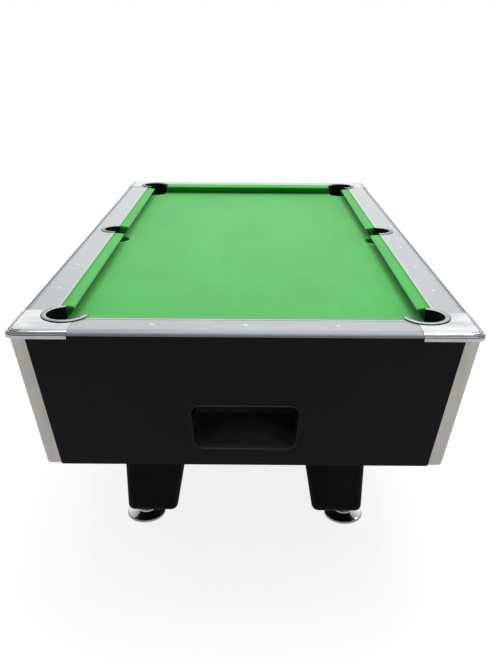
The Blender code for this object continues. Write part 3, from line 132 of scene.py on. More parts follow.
# Cabinet panels: four tapering boards of 18 mm chipboard faced in matt black laminate.
# The front end is cut out for the return opening, the right side for the coin unit, and
# their edges are slightly eased.
PANEL_EASE = 0.0012
WELD, SAME_FACE = 0.00002, math.radians(1)


def only(piece):
    """Leaves this piece alone selected."""
    bpy.ops.object.select_all(action="DESELECT")
    piece.select_set(True)
    bpy.context.view_layer.objects.active = piece
    return piece


def new_object(name, data):
    """Puts an object with this mesh, lamp or camera into the scene."""
    made = bpy.data.objects.new(name, data)
    bpy.context.scene.collection.objects.link(made)
    return made


def open_mesh():
    """Opens the active piece's mesh with the whole of it selected."""
    bpy.ops.object.mode_set(mode="EDIT")
    bpy.ops.mesh.select_all(action="SELECT")


def close_mesh(face_out=False):
    """Closes the open mesh, its faces first turned outwards if asked."""
    if face_out:
        bpy.ops.mesh.select_all(action="SELECT")
        bpy.ops.mesh.normals_make_consistent(inside=False)
    bpy.ops.object.mode_set(mode="OBJECT")


def welded_copy(node, name):
    """A copy of a frame piece with its loose triangles joined into whole faces."""
    piece = only(new_object(name, nodes[node].data.copy()))
    bpy.ops.mesh.customdata_custom_splitnormals_clear()
    open_mesh()
    bpy.ops.mesh.remove_doubles(threshold=WELD)
    bpy.ops.mesh.dissolve_limited(angle_limit=SAME_FACE)
    close_mesh()
    return piece


def apply_step(piece, kind, **settings):
    """Adds one modifier to a piece and applies it."""
    only(piece)
    step = piece.modifiers.new("step", kind)
    for name, value in settings.items():
        setattr(step, name, value)
    bpy.ops.object.modifier_apply(modifier=step.name)


def ease(piece, width, steps=2, over=30):
    """Rounds the edges sharper than an angle."""
    apply_step(piece, "BEVEL", width=width, segments=steps, limit_method="ANGLE",
               angle_limit=math.radians(over))


def polish(piece, angle=35):
    """Shades the rounded parts smooth and keeps the flats flat."""
    only(piece)
    bpy.ops.object.shade_smooth_by_angle(angle=math.radians(angle))
    apply_step(piece, "WEIGHTED_NORMAL", keep_sharp=True)


def fit(piece, body, slot, material, *stands_for):
    """Gives a finished piece its material and the body it moves with, and hides the frame pieces it
    stands for.
    """
    piece.data.materials.clear()
    piece.data.materials.append(material)
    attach(piece, body)
    if stands_for:
        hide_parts(*stands_for)


BLACK_LAMINATE = surface(
    "matt black laminate", (0.0036, 0.0036, 0.0041), (0.0056, 0.0056, 0.0061), (0.46, 0.49),
    patch=5.0, grain=900.0, bump=0.12, Specular_IOR_Level=0.09,
)
for side in ("end_panel_front", "end_panel_rear", "side_panel_left", "side_panel_right"):
    board = welded_copy(side, side + "_board")
    ease(board, PANEL_EASE)
    polish(board)
    fit(board, "cabinet", "black_laminate", BLACK_LAMINATE, side)


# Corner posts: aluminium angle, satin anodised, that leans in with the panels, covers
# their ends and is rounded over at its lower end. One is shaped, the others mirrored.
POST_LEG, POST_WALL = 0.041, 0.0177
POST_CORNER, POST_LOWER_END, POST_END_MARGIN = 0.012, 0.010, 0.0005
POST_CUT_OVERRUN = 0.1
ALONG, NEAR, CLOSE = 0.9, 0.001, 0.0001


def settle(piece, name=None):
    """Moves a piece's place, turn and scale into its mesh, and can name it."""
    only(piece)
    bpy.ops.object.transform_apply()
    if name:
        piece.name = piece.data.name = name
    return piece


def block(name, low, high):
    """A box from its lowest to its highest corner."""
    low, high = Vector(low), Vector(high)
    bpy.ops.mesh.primitive_cube_add(size=1, location=(low + high) / 2, scale=high - low)
    return settle(bpy.context.object, name)


def pick(kind, wanted):
    """Selects the open mesh's points, edges or faces by their middle and direction."""
    bpy.ops.mesh.select_mode(type=kind)
    bpy.ops.mesh.select_all(action="DESELECT")
    data = bpy.context.edit_object.data
    mesh = bmesh.from_edit_mesh(data)
    if kind == "VERT":
        rows = [(v, v.co, v.normal) for v in mesh.verts]
    elif kind == "EDGE":
        rows = [(e, (e.verts[0].co + e.verts[1].co) / 2,
                 (e.verts[1].co - e.verts[0].co).normalized()) for e in mesh.edges]
    else:
        rows = [(f, f.calc_center_median(), f.normal) for f in mesh.faces]
    chosen = [item for item, middle, way in rows if wanted(middle, way)]
    for item in chosen:
        item.select_set(True)
    mesh.select_flush_mode()
    bmesh.update_edit_mesh(data)


def round_where(wanted, width, steps):
    """Rounds the open mesh's edges that a test chooses."""
    pick("EDGE", wanted)
    bpy.ops.mesh.bevel(offset=width, segments=steps, affect="EDGES")


def leaning_block(name, low, high, lean):
    """A box, left open, whose lower end is moved in towards the table's middle."""
    piece = block(name, low, high)
    open_mesh()
    pick("VERT", lambda at, way: at.z < (low[2] + high[2]) / 2)
    bpy.ops.transform.translate(value=(-lean, lean, 0))
    return piece


def cut(piece, *others, operation="DIFFERENCE"):
    """Takes other solids out of a piece, or adds them to it."""
    for other in others:
        apply_step(piece, "BOOLEAN", operation=operation, object=other, solver="EXACT")
        bpy.data.objects.remove(other)


def for_each_corner(piece, stem):
    """Mirrors a front right piece to the table's other corners: {corner name: piece}."""
    made = {}
    for corner, across, along in (("front_left", -1, 1), ("rear_left", -1, -1),
                                  ("rear_right", 1, -1)):
        twin = new_object(f"{stem}_{corner}", piece.data.copy())
        twin.scale = (across, along, 1)
        settle(twin)
        open_mesh()
        close_mesh(face_out=True)
        made[corner] = twin
    piece.name = piece.data.name = f"{stem}_front_right"
    made["front_right"] = piece
    return made


low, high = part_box("corner_post_front_right")
outer_x, outer_y = high.x, low.y
lean = high.x - low.x - POST_LEG
post = leaning_block("post", (outer_x - POST_LEG, outer_y, low.z),
                     (outer_x, outer_y + POST_LEG, high.z), lean)
round_where(lambda at, way: abs(way.z) > ALONG and at.x > outer_x - lean / 2 - NEAR
            and at.y < outer_y + lean / 2 + NEAR, POST_CORNER, 10)
round_where(lambda at, way: at.z < low.z + CLOSE
            and (at.x > outer_x - lean - POST_CORNER - POST_END_MARGIN
                 or at.y < outer_y + lean + POST_CORNER + POST_END_MARGIN), POST_LOWER_END, 6)
close_mesh()
over, aside = POST_CUT_OVERRUN * (high.z - low.z), POST_CUT_OVERRUN * lean
inner = leaning_block(
    "post hollow",
    (outer_x - 2 * POST_LEG + aside, outer_y + POST_WALL - aside, low.z - over),
    (outer_x - POST_WALL + aside, outer_y + 2 * POST_LEG - aside, high.z + over),
    lean * (1 + 2 * POST_CUT_OVERRUN),
)
close_mesh()
cut(post, inner)
ANODISED = surface(
    "satin anodised aluminium", (0.33, 0.33, 0.30), (0.41, 0.41, 0.375), (0.40, 0.50),
    patch=5.0, grain=500.0, bump=0.1, stretch=(6, 6, 0.4), Metallic=1.0,
)
for corner, piece in for_each_corner(post, "post").items():
    polish(piece)
    fit(piece, "cabinet", "satin_aluminium", ANODISED, "corner_post_" + corner)


# Legs: square boxed legs painted matt black, straight on their two outer faces and
# narrowing to the foot on the inner ones, with well rounded edges. They are bolted up
# through the floor and bored below for the foot's screw.
LEG_FOOT, LEG_EDGE = 0.1605, 0.021
BORE_RADIUS, BORE_TOP, BORE_BELOW = 0.0146, 0.120, 0.02
ROD_SIDES = 96


def rod(name, x, y, radius, low_z, high_z):
    """An upright round bar, used for boring and cutting."""
    bpy.ops.mesh.primitive_cylinder_add(vertices=ROD_SIDES, radius=radius, depth=high_z - low_z,
                                        location=(x, y, (low_z + high_z) / 2))
    return settle(bpy.context.object, name)


low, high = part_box("leg_front_right")
foot_low, foot_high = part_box("leveller_front_right")
foot_at = (foot_low + foot_high) / 2
narrowing = (high.x - low.x) - LEG_FOOT
leg = block("leg", low, high)
open_mesh()
pick("VERT", lambda at, way: at.z < low.z + NEAR and at.x < low.x + NEAR)
bpy.ops.transform.translate(value=(narrowing, 0, 0))
pick("VERT", lambda at, way: at.z < low.z + NEAR and at.y > high.y - NEAR)
bpy.ops.transform.translate(value=(0, -narrowing, 0))
round_where(lambda at, way: at.z < high.z - NEAR, LEG_EDGE, 6)
close_mesh()
cut(leg, rod("bore", foot_at.x, foot_at.y, BORE_RADIUS, low.z - BORE_BELOW, BORE_TOP))
# Painted shade: the legs' black is set darker than the panels' laminate, for the cabinet's shadow over
# them; the matt finish is their own.
MATT_PAINT_AND_SHADE = surface(
    "matt black paint", (0.0022, 0.0022, 0.0025), (0.0036, 0.0036, 0.0039), (0.55, 0.68),
    patch=7.0, grain=1100.0, bump=0.16, Specular_IOR_Level=0.07,
)
for corner, piece in for_each_corner(leg, "boxed_leg").items():
    polish(piece)
    fit(piece, "cabinet", "black_laminate", MATT_PAINT_AND_SHADE, "leg_" + corner)


# Levelling feet: a pressed and chromed dish with a turned collar, a hexagon to turn it
# by and a threaded stem that screws up into the leg. The dish's rim and the parts from
# the collar up are rubbed dull.
DISH = ((0.0615, 0.0), (0.0631, 0.0005), (0.0635, 0.0012), (0.0635, 0.0066), (0.0630, 0.0074),
        (0.0620, 0.0078), (0.0590, 0.0086), (0.0540, 0.0104), (0.0480, 0.0128), (0.0425, 0.0152),
        (0.0380, 0.0172), (0.0345, 0.0188), (0.0325, 0.0196), (0.0312, 0.0200), (0.0310, 0.0206),
        (0.0310, 0.0232), (0.0304, 0.0240), (0.0294, 0.0243), (0.0284, 0.0240), (0.0278, 0.0232),
        (0.0274, 0.0195), (0.0235, 0.0190))
HEXAGON = ((0.0205, 0.0180), (0.0220, 0.0200), (0.0220, 0.0523), (0.0200, 0.0540))
STEM_RADIUS, STEM_ROOT, THREAD_PITCH = 0.014, 0.0128, 0.003
STEM_LOW, STEM_HIGH = 0.0535, 0.1140
RIM_TOP, RIM_FADE, RIM_TINT = 0.0072, 0.0086, (0.50, 0.49, 0.47)
COLLAR_LOW, COLLAR_HIGH, SATIN_ROUGH = 0.0198, 0.0206, 0.62


def draw_rings(x, y, profile):
    """Draws the open mesh's selected ring on through rings of given radius and height."""
    radius, level = profile[0]
    for ring, next_level in profile[1:]:
        rise = {"value": (0, 0, next_level - level)}
        bpy.ops.mesh.extrude_region_move(TRANSFORM_OT_translate=rise)
        bpy.ops.transform.resize(value=(ring / radius, ring / radius, 1),
                                 center_override=(x, y, next_level))
        radius, level = ring, next_level


def turned(name, x, y, profile, sides):
    """A turned solid: a disc drawn up through rings of the given radius and height."""
    radius, level = profile[0]
    bpy.ops.mesh.primitive_circle_add(vertices=sides, radius=radius, fill_type="NGON",
                                      location=(x, y, level))
    piece = settle(bpy.context.object, name)
    open_mesh()
    draw_rings(x, y, profile)
    close_mesh(face_out=True)
    return piece


def joined(name, piece, *others):
    """Makes several shapes one piece."""
    only(piece)
    for other in others:
        other.select_set(True)
    bpy.ops.object.join()
    piece.name = piece.data.name = name
    return piece


def find_node(tree, kind):
    """The first node of a kind."""
    return next(node for node in tree.nodes if node.bl_idname == "ShaderNode" + kind)


def ramp(finish, axis, first, last, early=1.0):
    """A mask that runs from 0 to 1 between two distances along an axis, on either side."""
    tree = finish.node_tree
    parts = add_node(tree, "SeparateXYZ")
    size = add_node(tree, "Math", {"operation": "ABSOLUTE"})
    spread = add_node(tree, "MapRange", From_Min=first, From_Max=last)
    power = add_node(tree, "Math", {"operation": "POWER"})
    power.inputs[1].default_value = early
    connect(tree, (find_node(tree, "TexCoord"), "Object", parts, "Vector"), (parts, axis, size, 0),
            (size, 0, spread, "Value"), (spread, "Result", power, 0))
    return power.outputs[0]


def blend_where(finish, socket, mask, target, **settings):
    """Blends a finish's colour or roughness towards a target where a mask is 1."""
    tree = finish.node_tree
    into = tree.nodes["Principled BSDF"].inputs[socket]
    blend = add_node(tree, "Mix", settings, B=target)
    tree.links.new(into.links[0].from_socket, blend.inputs["A"])
    tree.links.new(mask, blend.inputs["Factor"])
    tree.links.new(blend.outputs["Result"], into)


def tint_where(finish, mask, tint):
    """Multiplies a finish's colour by a tint where a mask is 1."""
    blend_where(finish, "Base Color", mask, (*tint, 1), data_type="RGBA", blend_type="MULTIPLY")


def dull_where(finish, mask, roughness):
    """Takes a finish's gloss off where a mask is 1."""
    blend_where(finish, "Roughness", mask, roughness)


turns = int((STEM_HIGH - STEM_LOW) / THREAD_PITCH)
thread = [(STEM_ROOT if half % 2 == 0 else STEM_RADIUS, STEM_LOW + half * THREAD_PITCH / 2)
          for half in range(2 * turns + 1)]
foot = joined(
    "foot",
    turned("dish", foot_at.x, foot_at.y, DISH, sides=96),
    turned("hexagon", foot_at.x, foot_at.y, HEXAGON, sides=6),
    turned("stem", foot_at.x, foot_at.y, thread, sides=36),
)
CHROME = surface(
    "polished chrome", (0.72, 0.73, 0.74), (0.86, 0.87, 0.88), (0.05, 0.14), patch=9.0,
    grain=14.0, bump=0.12, depth=0.004, Metallic=1.0,
)
FOOT_CHROME = CHROME.copy()
FOOT_CHROME.name = "chrome with a rubbed rim"
rim = ramp(FOOT_CHROME, "Z", RIM_FADE, RIM_TOP)
dull_where(FOOT_CHROME, rim, SATIN_ROUGH)
tint_where(FOOT_CHROME, rim, RIM_TINT)
dull_where(FOOT_CHROME, ramp(FOOT_CHROME, "Z", COLLAR_LOW, COLLAR_HIGH), SATIN_ROUGH)
for corner, piece in for_each_corner(foot, "levelling_foot").items():
    polish(piece, angle=32)
    fit(piece, "leveller_" + corner, "chrome", FOOT_CHROME, "leveller_" + corner)


# Return path inside the cabinet: pressed steel gutters, rear pan and storage lane, with
# the gate in its frame and the bar that lifts it. Galvanised sheet, folded and spot
# welded; the gate's frame is moulded black plastic.
GALVANISED = surface(
    "galvanised sheet", (0.42, 0.43, 0.44), (0.60, 0.61, 0.62), (0.32, 0.52), patch=22.0,
    grain=200.0, bump=0.08, Metallic=1.0,
)
MOULDED_BLACK = surface(
    "moulded black plastic", (0.006, 0.006, 0.007), (0.011, 0.011, 0.012), (0.34, 0.46),
    patch=8.0, grain=1100.0, bump=0.1, Specular_IOR_Level=0.3,
)
finish_node(GALVANISED, "gutter_left", "gutter_right", "rear_pan", "storage_lane",
            "release_gate", "release_bar", "coin_chute", "cash_box")
finish_node(MOULDED_BLACK, "gate_frame")


# Return tray and bezel: the tray is a moulded black box that the return path ends in, and
# the bezel a black frame with rounded corners that lines the opening and clips in from
# the front.
TAPER = 0.1208
RETURN_WIDTH, RETURN_HEIGHT, RETURN_CORNER, RETURN_TAPER = 0.2955, 0.1445, 0.030, 0.073
BEZEL_FLANGE, BEZEL_PROUD, BEZEL_WALL, BEZEL_GAP = 0.0025, 0.0025, 0.003, 0.0003
BEZEL_DEPTH, BEZEL_BEAD, SLEEVE_LAP, MOUTH_REACH = 0.0178, 0.0019, 0.001, 0.05
BEZEL_LIT, BEZEL_SHADED, BEZEL_SHADE = 0.110, 0.150, (0.12, 0.12, 0.12)
TRAY_LIT, TRAY_SHADED, TRAY_SHADE = 0.030, 0.090, (0.25, 0.25, 0.25)
low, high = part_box("return_bezel")
panel_low, panel_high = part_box("end_panel_front")
face_lean = math.atan(TAPER)
return_mid_z = (low.z + high.z) / 2
return_face_y = panel_low.y + TAPER * (panel_high.z - return_mid_z)


def rounded_plate(name, grow, corner, front, back):
    """A plate in the opening's own plane, its corners rounded, wider at its top than below."""
    width, height = RETURN_WIDTH + 2 * grow, RETURN_HEIGHT + 2 * grow
    piece = block(name, (-width / 2, front, -height / 2), (width / 2, back, height / 2))
    open_mesh()
    round_where(lambda at, way: abs(way.y) > ALONG, corner, 12)
    close_mesh()
    apply_step(piece, "SIMPLE_DEFORM", deform_method="TAPER", deform_axis="Z", lock_y=True,
               factor=RETURN_TAPER * height / RETURN_HEIGHT)
    return piece


bezel = rounded_plate("return_bezel_frame", BEZEL_FLANGE, RETURN_CORNER + BEZEL_FLANGE,
                      -BEZEL_PROUD, -BEZEL_GAP)
sleeve = rounded_plate("sleeve", -BEZEL_GAP, RETURN_CORNER, -SLEEVE_LAP, BEZEL_DEPTH)
cut(bezel, sleeve, operation="UNION")
cut(bezel, rounded_plate("mouth", -BEZEL_WALL, RETURN_CORNER - BEZEL_WALL, -MOUTH_REACH,
                         MOUTH_REACH))
open_mesh()
round_where(lambda at, way: at.y < -BEZEL_PROUD + CLOSE, BEZEL_BEAD, 5)
close_mesh()
bezel.rotation_euler = (face_lean, 0, 0)
bezel.location = (0, return_face_y, return_mid_z)
settle(bezel)
polish(bezel)
BEZEL_BLACK = surface(
    "matt black bezel", (0.055, 0.055, 0.062), (0.070, 0.070, 0.080), (0.5, 0.62), patch=8.0,
    grain=1100.0, bump=0.1, Specular_IOR_Level=0.12,
)
# Painted shade and highlight: past 0.11 m either side of the middle the bezel is painted much darker,
# as painted shade on its sides; its top and bottom keep the lighter grey, as painted highlight along
# those edges.
tint_where(BEZEL_BLACK, ramp(BEZEL_BLACK, "X", BEZEL_LIT, BEZEL_SHADED), BEZEL_SHADE)
fit(bezel, "cabinet", "black_plastic", BEZEL_BLACK, "return_bezel")
tray = welded_copy("return_tray", "return_tray_box")
ease(tray, PANEL_EASE, steps=3)
polish(tray)
TRAY_GREY_BLACK = surface(
    "dusty black plastic", (0.05, 0.05, 0.05), (0.11, 0.11, 0.107), (0.5, 0.66),
    patch=6.0, grain=700.0, bump=0.12, Specular_IOR_Level=0.25,
)
tray_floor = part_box("return_tray")[0].z
# Painted light and shade: the tray's plastic is a lighter grey-black than the other moulded parts, left
# showing on its floor as painted light; from 30 mm above the floor upwards it is painted much darker,
# as painted shade on its walls.
tint_where(TRAY_GREY_BLACK, ramp(TRAY_GREY_BLACK, "Z", tray_floor + TRAY_LIT, tray_floor + TRAY_SHADED),
           TRAY_SHADE)
fit(tray, "cabinet", "black_plastic", TRAY_GREY_BLACK, "return_tray")


# Coin unit: a brushed steel plate with the coin recess and housing behind it, a plated
# push slide with two coin seats, and the cash door with its lock. The plate is held by
# four dome-headed screws.
BRUSHED = surface(
    "brushed steel", (0.46, 0.47, 0.48), (0.58, 0.59, 0.60), (0.26, 0.36), patch=6.0,
    grain=260.0, bump=0.1, stretch=(1, 0.08, 1), Metallic=1.0,
)
BRASS = surface("lock brass", (0.60, 0.42, 0.16), (0.74, 0.55, 0.25), (0.2, 0.32), patch=40.0,
                grain=600.0, bump=0.06, Metallic=1.0)
for node, name, body, width, slot, material in (
        ("coin_unit_body", "coin_plate", "cabinet", 0.0005, "steel", BRUSHED),
        ("coin_slide", "coin_push_slide", "coin_slide", 0.0009, "chrome", CHROME),
        ("cash_door", "cash_door_leaf", "cash_door", 0.0006, "steel", BRUSHED),
        ("cash_lock", "cash_lock_barrel", "cash_lock", 0.0003, "brass", BRASS)):
    piece = welded_copy(node, name)
    ease(piece, width)
    polish(piece)
    fit(piece, body, slot, material, node)
SCREW_HEAD = ((0.0046, 0.0), (0.0046, 0.0006), (0.0042, 0.0012), (0.0032, 0.0017),
              (0.0018, 0.0020))
SCREW_SLOT_WIDTH, SCREW_SLOT_LENGTH, SCREW_SLOT_DEPTH = 0.0011, 0.0054, 0.0012
SCREW_ACROSS, SCREW_UP, SCREW_DOWN = 0.076, 0.080, -0.108
PLATE_FRONT, UNIT_Z = 0.0044, 0.5
CUT_PAST = 0.01
low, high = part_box("coin_unit_body")
side_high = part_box("side_panel_right")[1]
unit_at = Vector((side_high.x - TAPER * (side_high.z - UNIT_Z), (low.y + high.y) / 2, UNIT_Z))
out = Vector((math.cos(face_lean), 0, -math.sin(face_lean)))
rise = Vector((math.sin(face_lean), 0, math.cos(face_lean)))
screw = turned("screw", 0, 0, SCREW_HEAD, sides=28)
slot_floor = SCREW_HEAD[-1][1] - SCREW_SLOT_DEPTH
for wide, long in ((SCREW_SLOT_WIDTH, SCREW_SLOT_LENGTH), (SCREW_SLOT_LENGTH, SCREW_SLOT_WIDTH)):
    cut(screw, block("slot", (-wide / 2, -long / 2, slot_floor), (wide / 2, long / 2, CUT_PAST)))
screws = []
for across in (-SCREW_ACROSS, SCREW_ACROSS):
    for up in (SCREW_UP, SCREW_DOWN):
        head = new_object("screw head", screw.data.copy())
        head.rotation_euler = (0, math.pi / 2 + face_lean, 0)
        head.location = unit_at + Vector((0, across, 0)) + rise * up + out * PLATE_FRONT
        screws.append(settle(head))
bpy.data.objects.remove(screw)
plate_screws = joined("coin_plate_screws", *screws)
polish(plate_screws)
fit(plate_screws, "cabinet", "steel", CHROME)


# Slate bed: one sawn slab of grey slate, ground flat, resting on its bearers, with the
# six pocket notches cut in its edge.
SLATE = surface("sawn slate", (0.055, 0.06, 0.068), (0.10, 0.108, 0.118), (0.6, 0.78), patch=5.0,
                grain=240.0, bump=0.25)
finish_node(SLATE, "slate_bed")


# Bed cloth: bright green napped wool cloth, stretched over the slate and cut away round
# the six pockets, where a strip of it is turned over the slate's rim and tucked in. Along
# and under the cushion noses it is painted darker and greener: a painted shadow.
CLOTH_CELL = 0.0125
RIPPLE_SIZE, RIPPLE_RISE = 0.16, 0.0005
CORNER_NOTCH, SIDE_NOTCH = 0.0615, 0.0545
CORNER_RIM, SIDE_RIM = 0.067, 0.060
CORNER_BORE, SIDE_BORE = 0.057, 0.050
CORNER_MOUTH, SIDE_MOUTH = math.radians(116), math.radians(170)
OFF_SIDE, OFF_END, FACING_UP = 0.7, 1.2, 0.5
TUCK_THICKNESS, TUCK_SHORT, TUCK_SIDES = 0.0007, math.radians(4), 180
FOLD_AT_NOTCH = ((-0.0003, 0.0002), (-0.0025, 0.0003))
FOLD_AT_BORE = ((0.0010, 0.0012), (-0.0006, 0.0035), (-0.0010, 0.0080), (-0.0010, 0.026))
CLOTH_DARK, CLOTH_LIGHT = (0.056, 0.56, 0.076), (0.076, 0.65, 0.096)
FLECK_TINT, WEAVE, WEAVE_TO_NAP = (0.86, 0.9, 0.86, 1), 2600.0, 9
BED_SHEEN, CUSHION_SHEEN = (0.75, 1.0, 0.79, 1.0), (0.5, 1.0, 0.55, 1.0)
NOSE_SHADOW_WIDTH, NOSE_SHADOW_TINT = 0.016, (0.15, 0.70, 0.25)
LINER = "pocket_liner_"
liner_boxes = {name.removeprefix(LINER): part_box(name) for name in nodes if name.startswith(LINER)}
corner_low, corner_high = liner_boxes["front_right"]
corner_pocket = Vector((corner_high.x - CORNER_RIM, corner_low.y + CORNER_RIM))
side_pocket_x = liner_boxes["right"][1].x - SIDE_RIM


def napped_cloth(name, sheen, **fixed):
    """Wool cloth: soft patches, a short nap lying along the table and a fine weave."""
    cloth = surface(name, CLOTH_DARK, CLOTH_LIGHT, (0.66, 0.78), Sheen_Weight=1.0,
                    Sheen_Roughness=0.32, Sheen_Tint=sheen, Specular_IOR_Level=0.5, **fixed)
    tree = cloth.node_tree
    nap = add_node(tree, "Group", {"node_tree": PATCHES}, Patch_scale=WEAVE / WEAVE_TO_NAP,
                   Grain_scale=WEAVE)
    tone = find_node(tree, "Mix")
    flecks = add_node(tree, "Mix", {"data_type": "RGBA", "blend_type": "MULTIPLY"}, B=FLECK_TINT)
    connect(tree, (find_node(tree, "TexCoord"), "Object", nap, "Vector"),
            (tone, "Result", flecks, "A"), (nap, "Patches", flecks, "Factor"),
            (flecks, "Result", tree.nodes["Principled BSDF"], "Base Color"),
            (nap, "Grain", find_node(tree, "Bump"), "Height"))
    return cloth


GREEN_CLOTH = napped_cloth("green wool cloth", BED_SHEEN, patch=2.6, bump=0.35, stretch=(1.6, 1, 1))
nose_x, nose_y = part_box("cushion_right_front")[0].x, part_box("cushion_rear")[0].y
# Painted shadow: from 16 mm out from the cushion noses to under them, the cloth is painted darker and
# greener.
for axis, nose in (("X", nose_x), ("Y", nose_y)):
    tint_where(GREEN_CLOTH, ramp(GREEN_CLOTH, axis, nose - NOSE_SHADOW_WIDTH, nose), NOSE_SHADOW_TINT)
low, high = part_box("bed_cloth")
width, length = high.x - low.x, high.y - low.y
bpy.ops.mesh.primitive_grid_add(x_subdivisions=round(width / CLOTH_CELL),
                                y_subdivisions=round(length / CLOTH_CELL), size=1,
                                location=(0, 0, low.z))
cloth = bpy.context.object
cloth.scale = (width, length, 1)
settle(cloth, "bed_cloth_sheet")
open_mesh()
bpy.ops.mesh.extrude_region_move(TRANSFORM_OT_translate={"value": (0, 0, high.z - low.z)})
close_mesh(face_out=True)
below, above = low.z - CUT_PAST, high.z + CUT_PAST
for across in (-1, 1):
    for along in (-1, 1):
        x, y = across * corner_pocket.x, along * -corner_pocket.y
        (x_low, x_high), (y_low, y_high) = sorted((x, across * OFF_SIDE)), sorted((y, along * OFF_END))
        cut(cloth, rod("notch", x, y, CORNER_NOTCH, below, above),
            block("beyond", (x_low, y_low, below), (x_high, y_high, above)))
    x = across * side_pocket_x
    x_low, x_high = sorted((x, across * OFF_SIDE))
    cut(cloth, rod("notch", x, 0, SIDE_NOTCH, below, above),
        block("beyond", (x_low, -SIDE_NOTCH, below), (x_high, SIDE_NOTCH, above)))
ripples = bpy.data.textures.new("slack in the cloth", "CLOUDS")
ripples.noise_scale = RIPPLE_SIZE
apply_step(cloth, "DISPLACE", texture=ripples, strength=RIPPLE_RISE, mid_level=0.0,
           direction="Z", texture_coords="LOCAL")
polish(cloth, angle=40)
fit(cloth, "cabinet", "green_cloth", GREEN_CLOTH, "bed_cloth")


def pocket_at(name):
    """A pocket's middle, its bore, rim and mouth, and the way from it to the bed."""
    if name in ("left", "right"):
        middle = Vector((side_pocket_x if name == "right" else -side_pocket_x, 0, 0))
        return middle, SIDE_BORE, SIDE_RIM, SIDE_MOUTH, math.atan2(0, -middle.x)
    middle = Vector((corner_pocket.x if name.endswith("right") else -corner_pocket.x,
                     corner_pocket.y if name.startswith("front") else -corner_pocket.y, 0))
    return (middle, CORNER_BORE, CORNER_RIM, CORNER_MOUTH,
            math.atan2(math.copysign(1, -middle.y), math.copysign(1, -middle.x)))


for name in liner_boxes:
    middle, bore, rim, mouth, towards_bed = pocket_at(name)
    notch = SIDE_NOTCH if name in ("left", "right") else CORNER_NOTCH
    fold = [(edge + out, high.z - drop) for edge, rows in ((notch, FOLD_AT_NOTCH), (bore, FOLD_AT_BORE))
            for out, drop in rows]
    bpy.ops.mesh.primitive_circle_add(vertices=TUCK_SIDES, radius=fold[0][0],
                                      location=(middle.x, middle.y, fold[0][1]))
    tuck = settle(bpy.context.object, "cloth_tuck_" + name)
    open_mesh()
    draw_rings(middle.x, middle.y, fold)
    towards = Vector((math.cos(towards_bed), math.sin(towards_bed)))
    pick("VERT", lambda at, way: (at - middle).xy.angle(towards) > mouth / 2 - TUCK_SHORT)
    bpy.ops.mesh.delete(type="VERT")
    close_mesh(face_out=True)
    apply_step(tuck, "SOLIDIFY", thickness=TUCK_THICKNESS, offset=0.0)
    polish(tuck, angle=60)
    fit(tuck, "cabinet", "green_cloth", GREEN_CLOTH)


# Rails: hardwood rails faced in pale grey laminate, with a rounded outer nosing that
# overhangs the cabinet. They are bolted down through the slate between the castings and
# cut out for the pockets.
RAIL_LIP, RAIL_BACK_INSET = 0.0115, 0.0342
NOSING_RUN, NOSING_DROP = 0.026, 0.0095
CORNER_CUT, SIDE_CUT = 0.0605, 0.0535
OUTLINE_SET_IN = 0.004
NOSING_SHADE_TINT, NOSING_SHADE_START, NOSING_SHADE_EARLY = (0.53, 0.58, 0.66), 0.00004, 0.22
SIDE_SHADE_WIDTH, SIDE_SHADE_TINT, SIDE_EDGE_ROUGH = 0.020, (0.16, 0.17, 0.18), 0.75
RAIL_LAMINATE = surface(
    "pale grey laminate", (0.51, 0.537, 0.555), (0.565, 0.592, 0.605), (0.22, 0.32), patch=3.0,
    grain=700.0, bump=0.04, Specular_IOR_Level=0.5,
)
rail_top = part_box("rail_front")[1].z
# Painted shade: the nosing is painted darker and bluer the lower it falls below the rail's top.
tint_where(RAIL_LAMINATE, ramp(RAIL_LAMINATE, "Z", rail_top - NOSING_SHADE_START, rail_top - NOSING_DROP,
                               NOSING_SHADE_EARLY), NOSING_SHADE_TINT)
rail_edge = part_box("rail_right")[1].x
# Painted shade: the outermost 20 mm of the side rails is painted much darker, and made rougher.
shaded_side_edge = ramp(RAIL_LAMINATE, "X", rail_edge - SIDE_SHADE_WIDTH, rail_edge)
tint_where(RAIL_LAMINATE, shaded_side_edge, SIDE_SHADE_TINT)
dull_where(RAIL_LAMINATE, shaded_side_edge, SIDE_EDGE_ROUGH)
TURNS = {"right": 0.0, "rear": math.pi / 2, "left": math.pi, "front": -math.pi / 2}


def reach(node):
    """How far out a rail's inner and outer edges are, and half its length."""
    low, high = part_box(node)
    if node.endswith(("right", "left")):
        return (*sorted((abs(low.x), abs(high.x))), high.y)
    return (*sorted((abs(low.y), abs(high.y))), high.x)


def turn_to(piece, side):
    """Turns a piece made along the right side to another side of the table."""
    piece.rotation_euler = (0, 0, TURNS[side])
    settle(piece)


def pocket_cutters(corner_radius, side_radius, low_z, high_z):
    """Round bars through all six pockets."""
    rods = [rod("pocket", across * corner_pocket.x, along * corner_pocket.y, corner_radius,
                low_z, high_z) for across in (-1, 1) for along in (-1, 1)]
    return rods + [rod("pocket", across * side_pocket_x, 0, side_radius, low_z, high_z)
                   for across in (-1, 1)]


def flat_round(pick_edges, run, drop, top, steps):
    """Rounds edges of the open mesh more across than down, by stretching it meanwhile."""
    flatten = drop / run
    bpy.ops.mesh.select_all(action="SELECT")
    bpy.ops.transform.resize(value=(1, 1, 1 / flatten), center_override=(0, 0, top))
    pick_edges()
    bpy.ops.mesh.bevel(offset=run, segments=steps, affect="EDGES")
    bpy.ops.mesh.select_all(action="SELECT")
    bpy.ops.transform.resize(value=(1, 1, flatten), center_override=(0, 0, top))


